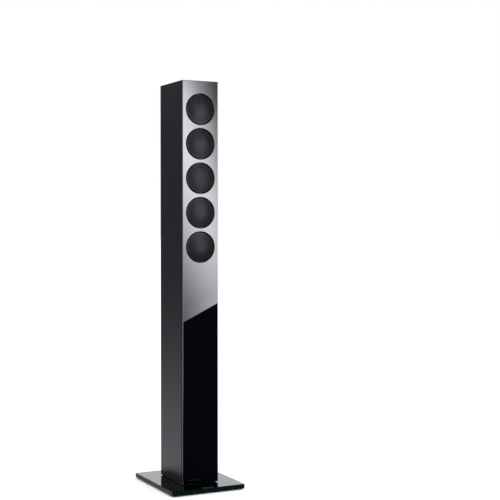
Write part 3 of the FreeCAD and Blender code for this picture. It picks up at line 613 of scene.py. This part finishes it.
def turned(profile, segments):
    """A closed (radius, y) profile turned about the Y axis."""
    shape = bmesh.new()
    rings = []
    for step in range(segments):
        turn = 2 * math.pi * step / segments
        rings.append([shape.verts.new(on_circle(radius, y, turn)) for radius, y in profile])
    count = len(profile)
    for here, there in zip(rings, rings[1:] + rings[:1]):
        for k in range(count):
            shape.faces.new((here[k], there[k], there[(k + 1) % count], here[(k + 1) % count]))
    bmesh.ops.recalc_face_normals(shape, faces=shape.faces)
    return shape


def arc(middle_radius, middle_y, radius, start, end, steps):
    """Points (radius, y) round part of a circle. Angles are in degrees, and 90 points forward."""
    points = []
    for step in range(steps + 1):
        turn = math.radians(start + (end - start) * step / steps)
        points.append((middle_radius + radius * math.cos(turn), middle_y - radius * math.sin(turn)))
    return points


def smooth(share):
    share = min(1.0, max(0.0, share))
    return share * share * (3 - 2 * share)


def blend_by_radius(made, body, height, fixed_radius, moving_radius):
    """The piece stays with the cabinet outside fixed_radius and moves with the body inside moving_radius.
    """
    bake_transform(made, "cabinet", body, start=(fixed_radius, 0, 0), end=(moving_radius, 0, 0))
    weights = made.data.attributes["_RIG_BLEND"].data
    for vertex, weight in zip(made.data.vertices, weights):
        radius = math.hypot(vertex.co.x, vertex.co.z - height)
        weight.value = smooth((fixed_radius - radius) / (fixed_radius - moving_radius))


# ---- grilles ------------------------------------------------------------------------

HOLE_PITCH = 2.2 * MM
HOLE_RADIUS = 0.75 * MM
SHEET = 0.8 * MM
ROLLED_EDGE = 0.8 * MM
DOME_RISE = 2.3 * MM
PLAIN_BORDER = 2.4 * MM
HOLE_SIDES = 12
GRILLE_SEGMENTS = 144


def perforated_sheet(reach):
    """Flat hexagonal cells round the Y axis, each with a round hole. Also gives the sheet's outer edges."""
    sheet = bmesh.new()
    to_side, to_corner = HOLE_PITCH / 2, HOLE_PITCH / math.sqrt(3)
    row_pitch = HOLE_PITCH * math.sqrt(3) / 2
    rows = int(reach / row_pitch) + 2
    on_holes = set()
    for row in range(-rows, rows + 1):
        for column in range(-rows, rows + 1):
            x = (column + (row % 2) / 2) * HOLE_PITCH
            z = row * row_pitch
            if math.hypot(x, z) + to_corner > reach:
                continue
            hole, edge = [], []
            for k in range(HOLE_SIDES):
                turn = 2 * math.pi * k / HOLE_SIDES
                far = to_corner if k % 2 else to_side
                hole.append(sheet.verts.new(Vector(on_circle(HOLE_RADIUS, 0, turn)) + Vector((x, 0, z))))
                edge.append(sheet.verts.new(Vector(on_circle(far, 0, turn)) + Vector((x, 0, z))))
            for k in range(HOLE_SIDES):
                following = (k + 1) % HOLE_SIDES
                sheet.faces.new((hole[k], edge[k], edge[following], hole[following]))
            on_holes.update(hole)
    shared = [vertex for vertex in sheet.verts if vertex not in on_holes]
    bmesh.ops.remove_doubles(sheet, verts=shared, dist=HOLE_PITCH * 0.02)
    border = [edge for edge in sheet.edges if edge.is_boundary and not on_holes.intersection(edge.verts)]
    return sheet, border


def ring_of_vertices(shape, radius, y):
    turns = [2 * math.pi * step / GRILLE_SEGMENTS for step in range(GRILLE_SEGMENTS)]
    return [shape.verts.new(on_circle(radius, y, turn)) for turn in turns]


def grille_mesh():
    """A domed, perforated disc pressed from one sheet, its edge rolled back into a skirt."""
    low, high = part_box("driver_grilles")
    outer, front, back = half_width("driver_grilles"), low.y, high.y
    rim = outer - ROLLED_EDGE
    ball = (rim ** 2 + DOME_RISE ** 2) / (2 * DOME_RISE)
    sheet, border = perforated_sheet(rim - PLAIN_BORDER)
    ring = ring_of_vertices(sheet, rim - PLAIN_BORDER / 2, 0)
    ring_edges = [sheet.edges.new(pair) for pair in zip(ring, ring[1:] + ring[:1])]
    bmesh.ops.triangle_fill(sheet, edges=border + ring_edges, use_beauty=True, normal=(0, -1, 0))
    roll = arc(rim, front + DOME_RISE + ROLLED_EDGE, ROLLED_EDGE, 90, 0, 6)
    for radius, y in roll + [(outer, back)]:
        following = ring_of_vertices(sheet, radius, y)
        for k in range(GRILLE_SEGMENTS):
            after = (k + 1) % GRILLE_SEGMENTS
            sheet.faces.new((ring[k], ring[after], following[after], following[k]))
        ring = following
    for vertex in sheet.verts:
        radius = math.hypot(vertex.co.x, vertex.co.z)
        if radius < rim - ROLLED_EDGE / 2:
            vertex.co.y = front + ball - math.sqrt(ball ** 2 - radius ** 2)
    bmesh.ops.recalc_face_normals(sheet, faces=sheet.faces)
    if sum(face.normal.y for face in sheet.faces) > 0:
        bmesh.ops.reverse_faces(sheet, faces=sheet.faces)
    draft = piece("grille_draft", sheet, "grille_metal")
    thick = draft.modifiers.new("thickness", "SOLIDIFY")
    thick.thickness = SHEET
    thick.offset = -1
    return with_modifiers(draft)


def make_grilles():
    mesh = grille_mesh()
    for place, height in HEIGHTS.items():
        grille = piece_from_mesh(f"grille_{place}", mesh, "grille_metal", (0, 0, height))
        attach(grille, "cabinet")
        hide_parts("driver_grilles")


# ---- surrounds and spiders -----------------------------------------------------------

LIP = 1.6 * MM  # a surround's inner lip: over the cone's edge, or on through the wall of the tweeter's dome
SURROUND_SKIN = 0.5 * MM
TWEETER_SKIN = 0.3 * MM
TWEETER_OVERLAP = 0.25 * MM  # how far the roll of the tweeter's surround starts inside the dome's edge
SPIDER_CLOTH = 0.35 * MM
SPIDER_WAVES = 4
SPIDER_FLAT = 1.0 * MM  # the spider's plain collar and lip
SPIDER_INSET = 0.25 * MM  # how far inside the coil's winding its collar starts, just clear of the former
SPIDER_GLUED_OUT, SPIDER_GLUED_IN = 1.6 * MM, 0.8 * MM  # the widths that don't flex
RING_SEGMENTS = 192


def half_roll(moving_edge, roll, outer, seat, skin, outer_drop=0.0):
    """A surround's profile: an inner lip, a half roll that bulges forward, and an outer lip."""
    centre = moving_edge + roll
    over = arc(centre, seat, roll, 170, 10, 24)
    under = arc(centre, seat, roll - skin, 0, 180, 24)
    inner_lip = moving_edge - LIP
    return [
        (inner_lip, seat),
        (inner_lip, seat - skin),
        *over,
        (outer, seat - skin + outer_drop),
        (outer, seat + outer_drop),
        *under,
    ]


def make_surrounds():
    for place in WOOFERS:
        node, height = f"woofer_{place}_surround", HEIGHTS[place]
        edge = half_width(f"woofer_{place}_cone")
        roll = BODY_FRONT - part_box(node)[0].y
        profile = half_roll(edge, roll, half_width(node), BODY_FRONT, SURROUND_SKIN)
        shape = turned(profile, RING_SEGMENTS)
        made = piece(f"surround_{place}", shape, "surround_rubber", (0, 0, height))
        blend_by_radius(made, f"woofer_{place}", height, edge + 2 * roll, edge)
        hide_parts(node)
    make_tweeter_surround()


def make_tweeter_surround():
    node = "tweeter_surround"
    edge = half_width("tweeter_dome")
    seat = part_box("tweeter_dome")[1].y - TWEETER_SKIN
    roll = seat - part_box(node)[0].y
    profile = half_roll(
        edge - TWEETER_OVERLAP, roll, half_width(node), seat, TWEETER_SKIN, outer_drop=TWEETER_SKIN)
    shape = turned(profile, RING_SEGMENTS)
    made = piece("surround_tweeter", shape, "surround_rubber", (0, 0, TWEETER_HEIGHT))
    blend_by_radius(made, "tweeter_diaphragm", TWEETER_HEIGHT, edge + 2 * roll, edge)
    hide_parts(node)


def spider_profile(inner, outer, front, back):
    """Corrugated cloth between a flat collar and a flat lip. The waves grow over their first eighth."""
    steps = 64
    growth = 8
    level = (front + back) / 2
    swing = (back - front - SPIDER_CLOTH) / 2
    line = []
    for step in range(steps + 1):
        radius = inner + (outer - inner) * step / steps
        share = (radius - inner - SPIDER_FLAT) / (outer - inner - 2 * SPIDER_FLAT)
        fade = smooth(share * growth) * smooth((1 - share) * growth)
        line.append((radius, level + swing * fade * math.sin(2 * math.pi * SPIDER_WAVES * share)))
    front_side = [(radius, y - SPIDER_CLOTH / 2) for radius, y in line]
    back_side = [(radius, y + SPIDER_CLOTH / 2) for radius, y in reversed(line)]
    return front_side + back_side


def make_spiders():
    for place in WOOFERS:
        node, height = f"woofer_{place}_spider", HEIGHTS[place]
        low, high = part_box(node)
        inner = half_width(f"woofer_{place}_coil") - SPIDER_INSET
        outer = half_width(node)
        profile = spider_profile(inner, outer, low.y, high.y)
        made = piece(f"spider_{place}", turned(profile, RING_SEGMENTS), "spider_cloth", (0, 0, height))
        fixed, moving = outer - SPIDER_GLUED_OUT, inner + SPIDER_GLUED_IN
        blend_by_radius(made, f"woofer_{place}", height, fixed, moving)
        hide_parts(node)


# ---- wool and wiring -------------------------------------------------------------------

WOOL_THICKNESS = 12 * MM
WOOL_CORNER = 26 * MM
COARSE_LUMP, COARSE_SIZE = 3.5 * MM, 22 * MM
FINE_LUMP, FINE_SIZE = 0.6 * MM, 5 * MM
WOOL_THINNEST = 0.25  # of the full depth, at the edges
WOOL_LIFT = 0.5 * MM  # how far the edges stand off the wall
END_TAPER, SIDE_TAPER = 9, 12  # it thins over a ninth of its height and a twelfth of its length
WOOL_ROWS = 84


def lining_path(reach, front, rear, corner):
    """Points (x, y) and inward directions along a U: up one side, round the back and down the other."""
    steps = 56
    points = []
    for step in range(steps):
        y = front + (rear - corner - front) * step / steps
        points.append(((-reach, y), (1, 0)))
    for step in range(steps // 2 + 1):
        turn = math.pi - math.pi / 2 * step / (steps // 2)
        place = (-reach + corner + corner * math.cos(turn), rear - corner + corner * math.sin(turn))
        points.append((place, (-math.cos(turn), -math.sin(turn))))
    for step in range(1, steps // 4):
        points.append(((-(reach - corner) * (1 - step / (steps // 4)), rear), (0, -1)))
    middle_point = [((0, rear), (0, -1))]
    mirrored = [((-x, y), (-inward[0], inward[1])) for (x, y), inward in reversed(points)]
    return points + middle_point + mirrored


def wool_depths(spot, up, along):
    """How far the batt's wall side and its room side stand in from the wall at a spot."""
    edge = min(1.0, END_TAPER * min(up, 1 - up), SIDE_TAPER * min(along, 1 - along))
    plump = math.sqrt(1 - (1 - edge) ** 2)
    coarse = COARSE_LUMP * (0.5 - 0.5 * noise.noise(spot / COARSE_SIZE))
    fine = FINE_LUMP * noise.noise(spot / FINE_SIZE)
    depth = (WOOL_THICKNESS - coarse - fine) * (WOOL_THINNEST + (1 - WOOL_THINNEST) * plump)
    return WOOL_LIFT * (1 - plump), min(depth, WOOL_THICKNESS)


def join_grid(shape, rows, flip=False):
    """Faces between neighbouring vertices of a grid, given row by row.

    Every face starts at the same corner, flipped or not, so all are split along the same diagonal.
    """
    for below, above in zip(rows, rows[1:]):
        for k in range(len(below) - 1):
            second, last = below[k + 1], above[k]
            if flip:
                second, last = last, second
            shape.faces.new((below[k], second, above[k + 1], last))


def make_wool():
    """A lumpy batt round the side and rear walls, thinner towards its edges."""
    low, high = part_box("damping_wool")
    path = lining_path(high.x, low.y, high.y, WOOL_CORNER)
    shape = bmesh.new()
    wall_side, room_side = [], []
    for row in range(WOOL_ROWS + 1):
        up = row / WOOL_ROWS
        z = low.z + (high.z - low.z) * up
        wall_row, room_row = [], []
        for k, ((x, y), inward) in enumerate(path):
            lift, depth = wool_depths(Vector((x, y, z)), up, k / (len(path) - 1))
            wall_row.append(shape.verts.new((x + inward[0] * lift, y + inward[1] * lift, z)))
            room_row.append(shape.verts.new((x + inward[0] * depth, y + inward[1] * depth, z)))
        wall_side.append(wall_row)
        room_side.append(room_row)
    join_grid(shape, wall_side)
    join_grid(shape, room_side, flip=True)
    for end in (0, -1):
        join_grid(shape, [[row[end] for row in wall_side], [row[end] for row in room_side]])
        join_grid(shape, [wall_side[end], room_side[end]])
    bmesh.ops.recalc_face_normals(shape, faces=shape.faces)
    wool = piece("wool_lining", shape, "wadding", sharp_angle=80)
    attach(wool, "cabinet")
    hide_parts("damping_wool")


LEAD_RADIUS = 1.4 * MM
TRUNK_RADIUS = 3 * MM
STOP_SHORT = 0.2 * MM  # the gap between a cable's end and what it meets
LEAD_BEND = 8 * MM  # how far a lead runs on behind its post before it turns up
LEAD_FOOT = 4 * MM  # where the leads meet the board, above its lower edge
LOOM_FOOT = 12 * MM  # where the loom leaves the board, below its upper edge
LOOM_HEAD = 6 * MM  # how far the trunk runs past the top driver
TRUNK_X, TRUNK_Y = -26 * MM, 45 * MM
BRANCH_X = -35 * MM  # beside the drivers
BRANCH_TURN = 35 * MM  # how far forward a branch runs as it goes out to the side

# Where a branch meets its driver: the distance from the driver's axis, and behind the cabinet's front.
WOOFER_TAG = (24 * MM, 22 * MM)
TWEETER_TAG = (22 * MM, 32 * MM)


def cut_corners(points, times=3):
    """A path with its corners rounded off."""
    for _ in range(times):
        cut = [points[0]]
        for here, there in zip(points, points[1:]):
            cut.append(here.lerp(there, 0.25))
            cut.append(here.lerp(there, 0.75))
        points = cut + [points[-1]]
    return points


def cable(name, radius, points, slot="cable_jacket"):
    """A round cable through the points, bending smoothly."""
    line = bpy.data.curves.new(name, "CURVE")
    line.dimensions = "3D"
    line.bevel_depth = radius
    line.bevel_resolution = 4
    line.use_fill_caps = True
    path = cut_corners([Vector(point) for point in points])
    spline = line.splines.new("POLY")
    spline.points.add(len(path) - 1)
    for target, point in zip(spline.points, path):
        target.co = (*point, 1.0)
    draft = bpy.data.objects.new(name + "_draft", line)
    bpy.context.scene.collection.objects.link(draft)
    made = piece_from_mesh(name, with_modifiers(draft), slot)
    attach(made, "cabinet")
    return made


def make_leads():
    """One from each post up to the crossover, in its post's colour."""
    board_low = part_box("crossover_board")[0]
    post_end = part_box("binding_posts")[0].y
    height = middle("terminal_cup").z
    foot = board_low.z + LEAD_FOOT
    for colour in ("red", "black"):
        x = middle(f"{colour}_post_cap").x
        start = post_end - STOP_SHORT
        made = cable(f"lead_{colour}", LEAD_RADIUS, [
            (x, start, height),
            (x, start - LEAD_BEND, height),
            (x, post_end - LEAD_BEND, foot),
            (x, board_low.y - STOP_SHORT, foot),
        ])
        made.data.materials[0] = LEAD_COLOURS[colour].material


def make_loom():
    """A trunk up from the crossover, with a branch to each of the five drivers."""
    board_low, board_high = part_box("crossover_board")
    foot = board_high.z - LOOM_FOOT
    trunk = cable("loom_trunk", TRUNK_RADIUS, [
        (TRUNK_X, board_low.y - STOP_SHORT, foot),
        (TRUNK_X, TRUNK_Y, foot),
        (TRUNK_X, TRUNK_Y, HEIGHTS[1] + LOOM_HEAD),
    ])
    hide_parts("wiring")
    for place, height in HEIGHTS.items():
        off_axis, depth = TWEETER_TAG if place == TWEETER else WOOFER_TAG
        y = BODY_FRONT + depth
        cable(f"loom_branch_{place}", LEAD_RADIUS, [
            (TRUNK_X, TRUNK_Y, height),
            (BRANCH_X, TRUNK_Y - BRANCH_TURN, height),
            (BRANCH_X, y, height),
            (-off_axis - STOP_SHORT, y, height),
        ])


# ---- studio -----------------------------------------------------------------------------

WHITE = (1.0, 1.0, 1.0)
LAMP_COLOUR = (0.97, 0.975, 1.035)
AMBIENT = 1.45  # soft light on the object and the floor
FLAGGED = 0.025  # what reflections see where black flags keep light off the glass


class Light(Surface):
    """A material or world laid out from bare light, which can tell the kinds of ray apart."""

    def __init__(self, owner):
        self.tree = owner.node_tree
        self.tree.nodes.clear()
        self.rays = self.node("ShaderNodeLightPath").outputs

    def glow(self, strength, colour=LAMP_COLOUR, kind="ShaderNodeEmission"):
        return self.node(kind, {"Color": colour, "Strength": strength}).outputs[0]

    def choose(self, share, first, second):
        return self.node("ShaderNodeMixShader", {0: share, 1: first, 2: second}).outputs[0]

    def blend(self, share, low, high, start, end):
        """As between, but easing in and out."""
        inputs = {"Value": share, "From Min": start, "From Max": end, "To Min": low, "To Max": high}
        return self.node("ShaderNodeMapRange", inputs, interpolation_type="SMOOTHSTEP").outputs["Result"]

    def product(self, first, *others):
        for other in others:
            first = self.math("MULTIPLY", first, other)
        return first

    def total(self, first, *others):
        for other in others:
            first = self.math("ADD", first, other)
        return first


def light_material(name):
    material = bpy.data.materials.new(name)
    material.use_nodes = True
    return material


# The cove behind the speaker, as reflections see it. The ranges are parts of a unit direction.
COVE_LEFT, COVE_RIGHT = 0.1, 1.3  # its brightness
COVE_ACROSS = (-0.1, 0.25)  # where left turns into right
COVE_LIFT = (0.09, 0.16)  # the heights over which its left side doubles
COVE_TOP = (0.42, 0.55)
COVE_FRONT = (-0.05, 0.3)

# The other lights that reflections see. Each is a product of levels that ease from low to high between two
# places along one part of a unit direction: (part, low, high, start, end).
REFLECTED_LIGHTS = {
    "front_left": [("X", 0.0, 1.0, 0.10, -0.15), ("Y", 0.0, 1.0, 0.1, -0.2), ("Z", 0.0, 1.0, 0.0, 0.22)],
    "left": [("X", 0.0, 3.0, -0.45, -0.8), ("Y", 1.0, 0.0, -0.1, 0.1), ("Z", 1.0, 0.3, 0.0, 0.35)],
    "ahead": [("X", 0.0, 1.0, 0.03, -0.05), ("X", 0.0, 1.0, -0.4, -0.1), ("Y", 5.0, 0.0, -0.9, -0.8)],
    "right": [("X", 0.0, 1.2, 0.75, 1.0), ("Z", 0.2, 1.0, -0.1, 0.2)],
}


def cove_behind(light, parts):
    """Bright on the right and dim on the left, most of all low down."""
    left = light.blend(parts["Z"], COVE_LEFT, 2 * COVE_LEFT, *COVE_LIFT)
    level = light.blend(parts["X"], left, COVE_RIGHT, *COVE_ACROSS)
    below_top = light.blend(parts["Z"], 1.0, 0.0, *COVE_TOP)
    behind = light.blend(parts["Y"], 0.0, 1.0, *COVE_FRONT)
    return light.product(level, below_top, behind)


def make_world():
    """White to the camera, soft light on surfaces, and a cove, some lights and dark flags in reflections."""
    world = bpy.data.worlds.new("studio")
    bpy.context.scene.world = world
    world.use_nodes = True
    world.cycles.sampling_method = "NONE"
    light = Light(world)
    direction = light.node("ShaderNodeTexCoord").outputs["Generated"]
    parts = {letter: light.axis(letter, direction) for letter in "XYZ"}
    level = light.total(FLAGGED, cove_behind(light, parts))
    for ramps in REFLECTED_LIGHTS.values():
        lit = light.product(*(light.blend(parts[letter], *levels) for letter, *levels in ramps))
        level = light.total(level, lit)
    kind = "ShaderNodeBackground"
    seen = light.glow(1.0, WHITE, kind)
    soft = light.glow(AMBIENT, WHITE, kind)
    reflected = light.glow(level, kind=kind)
    surface = light.choose(light.rays["Is Glossy Ray"], soft, reflected)
    surface = light.choose(light.rays["Is Camera Ray"], surface, seen)
    light.node("ShaderNodeOutputWorld", {"Surface": surface})


FLOOR_REACH = 60.0
FLOOR_GRAIN = 30.0  # patches per metre
FLOOR_DIVIDE = (BASE_FRONT - 0.01, BASE_FRONT + 0.02)  # where the floor in front turns into the floor behind
FLOOR_NEAR, FLOOR_FALL = 0.70, 2.4  # brightness behind on the left, and the distance over which it dies away
PLATE_SHADE, PLATE_SHADE_REACH = 0.4, (0.14, 0.36)  # how much of that is left close to the base plate
FLOOR_RIGHT, FLOOR_RIGHT_REACH = 0.5, (0.0, 0.5)  # what the right side adds to it
FLOOR_FRONT, FLOOR_FRONT_REACH = 4.0, (0.8, 2.6)  # brightness far in front, on the left only
FLOOR_FRONT_SIDE = (-0.6, -0.2)


def floor_in_reflections(light, place):
    """Bright behind the speaker, and flagged in front of it but for the far left."""
    x, y = light.axis("X", place), light.axis("Y", place)
    away = light.node("ShaderNodeVectorMath", {0: place}, operation="LENGTH").outputs["Value"]
    carried = light.math("EXPONENT", light.math("MULTIPLY", away, -1 / FLOOR_FALL))
    shaded = light.product(carried, light.blend(away, PLATE_SHADE, 1.0, *PLATE_SHADE_REACH))
    left = light.math("MULTIPLY_ADD", shaded, FLOOR_NEAR, COVE_LEFT)
    back = light.total(left, light.blend(x, 0.0, FLOOR_RIGHT, *FLOOR_RIGHT_REACH))
    on_the_left = light.blend(x, 1.0, 0.0, *FLOOR_FRONT_SIDE)
    front = light.product(on_the_left, light.blend(away, 0.0, FLOOR_FRONT, *FLOOR_FRONT_REACH))
    behind = light.blend(y, 0.0, 1.0, *FLOOR_DIVIDE)
    ahead = light.math("SUBTRACT", 1.0, behind)
    return light.total(FLAGGED, light.product(behind, back), light.product(ahead, front))


def floor_material():
    """Matt pale paint, but for what reflections see."""
    material = light_material("pale_floor")
    material.cycles.emission_sampling = "NONE"
    light = Light(material)
    place = light.node("ShaderNodeTexCoord").outputs["Object"]
    grain = light.noise(1 / FLOOR_GRAIN, place=place)
    paint = light.tint(grain, (0.90, 0.90, 0.90), (0.93, 0.93, 0.93))
    matt = light.node("ShaderNodeBsdfDiffuse", {"Color": paint}).outputs[0]
    reflected = light.glow(floor_in_reflections(light, place))
    surface = light.choose(light.rays["Is Glossy Ray"], matt, reflected)
    light.node("ShaderNodeOutputMaterial", {"Surface": surface})
    return material


def stage_object(name, shape, material):
    mesh = bpy.data.meshes.new(name)
    shape.to_mesh(mesh)
    shape.free()
    mesh.materials.append(material)
    made = bpy.data.objects.new(name, mesh)
    bpy.context.scene.collection.objects.link(made)
    return made


def make_floor():
    shape = bmesh.new()
    bmesh.ops.create_grid(shape, x_segments=1, y_segments=1, size=FLOOR_REACH)
    stage_object("floor", shape, floor_material())


def reflected_panel(name, start, run, lengths, heights, material):
    """An upright panel that only reflections see. Its lengths run from start in the direction of run."""
    shape = bmesh.new()
    (near, far), (bottom, top) = lengths, heights
    corners = [(near, bottom), (far, bottom), (far, top), (near, top)]
    shape.faces.new([shape.verts.new((along, 0, height)) for along, height in corners])
    panel = stage_object(name, shape, material)
    panel.location = start
    panel.rotation_euler.z = math.atan2(run.y, run.x)
    panel.visible_camera = False
    panel.visible_diffuse = False
    panel.visible_transmission = False
    panel.visible_shadow = False


SOFTBOX_START = Vector((0.942, -2.336, 0.0))
SOFTBOX_RUN = Vector((0.5314, -0.8471, 0.0))
SOFTBOX_LENGTHS = (-0.3, 1.75)
SOFTBOX_HEIGHTS = (0.25, 2.4)
SOFTBOX_PEAK = 17.7  # its brightness
HOT_HEIGHT, HOT_WIDTH = 1.122, 0.433  # of its brightest band, at SOFTBOX_START
HOT_FALL = 0.32  # how steeply that band drops as it runs away from there
FAR_FALL = 0.1226  # how fast it dims along its run, by the square of the distance
TOP_LEVEL, TOP_HEIGHTS = 0.72, (1.34, 1.48)  # it is dimmer above these heights
RIM_LEVEL, RIM_WIDTH = 1.2, 0.08  # and a little brighter along its lower edge


def softbox_material():
    """Brightest along a band that drops away from the speaker, as a lamp low in a tall softbox makes."""
    material = light_material("softbox")
    light = Light(material)
    place = light.node("ShaderNodeTexCoord").outputs["Object"]
    along, height = light.axis("X", place), light.axis("Z", place)
    off_band = light.math("SUBTRACT", light.math("MULTIPLY_ADD", along, HOT_FALL, height), HOT_HEIGHT)
    spread = light.math("DIVIDE", off_band, HOT_WIDTH)
    band = light.math("EXPONENT", light.product(spread, spread, -0.5))
    far = light.math("SUBTRACT", 1.0, light.product(along, along, FAR_FALL))
    top = light.blend(height, SOFTBOX_PEAK, TOP_LEVEL * SOFTBOX_PEAK, *TOP_HEIGHTS)
    bottom = SOFTBOX_HEIGHTS[0]
    rim = light.blend(height, RIM_LEVEL, 1.0, bottom, bottom + RIM_WIDTH)
    strength = light.product(band, far, top, rim)
    light.node("ShaderNodeOutputMaterial", {"Surface": light.glow(strength)})
    return material


def make_softbox():
    """A tall softbox in front, on the right."""
    material = softbox_material()
    reflected_panel("softbox", SOFTBOX_START, SOFTBOX_RUN, SOFTBOX_LENGTHS, SOFTBOX_HEIGHTS, material)


CARD_PLACE = Vector((0.415, -0.99, 0.0))
CARD_RUN = Vector((0.91, 0.415, 0.0))
CARD_LENGTHS = (-0.35, 0.35)
CARD_HEIGHTS = (0.0, 0.33)


def make_low_flag():
    """A low black card that keeps the softbox out of the base plate's reflection in the glass front."""
    material = light_material("black_card")
    light = Light(material)
    light.node("ShaderNodeOutputMaterial", {"Surface": light.glow(FLAGGED)})
    reflected_panel("black_card", CARD_PLACE, CARD_RUN, CARD_LENGTHS, CARD_HEIGHTS, material)


CAMERA_PLACE = Vector((-1.2795, -2.8803, 0.7083))
CAMERA_TURN = 27.02  # degrees to the right of straight ahead
CAMERA_DIP = 1.15
LENS = 82.44
SENSOR = 36.0


def make_camera():
    camera = bpy.data.objects.new("camera", bpy.data.cameras.new("camera"))
    bpy.context.scene.collection.objects.link(camera)
    camera.data.sensor_width = SENSOR
    camera.data.lens = LENS
    camera.location = CAMERA_PLACE
    camera.rotation_euler = (math.radians(90 - CAMERA_DIP), 0, math.radians(-CAMERA_TURN))
    bpy.context.scene.camera = camera


# ---- everything ---------------------------------------------------------------------------

dress_cad_nodes()
make_grilles()
make_surrounds()
make_spiders()
make_wool()
make_leads()
make_loom()
make_world()
make_floor()
make_softbox()
make_low_flag()
make_camera()
bpy.context.scene.view_settings.view_transform = "Standard"
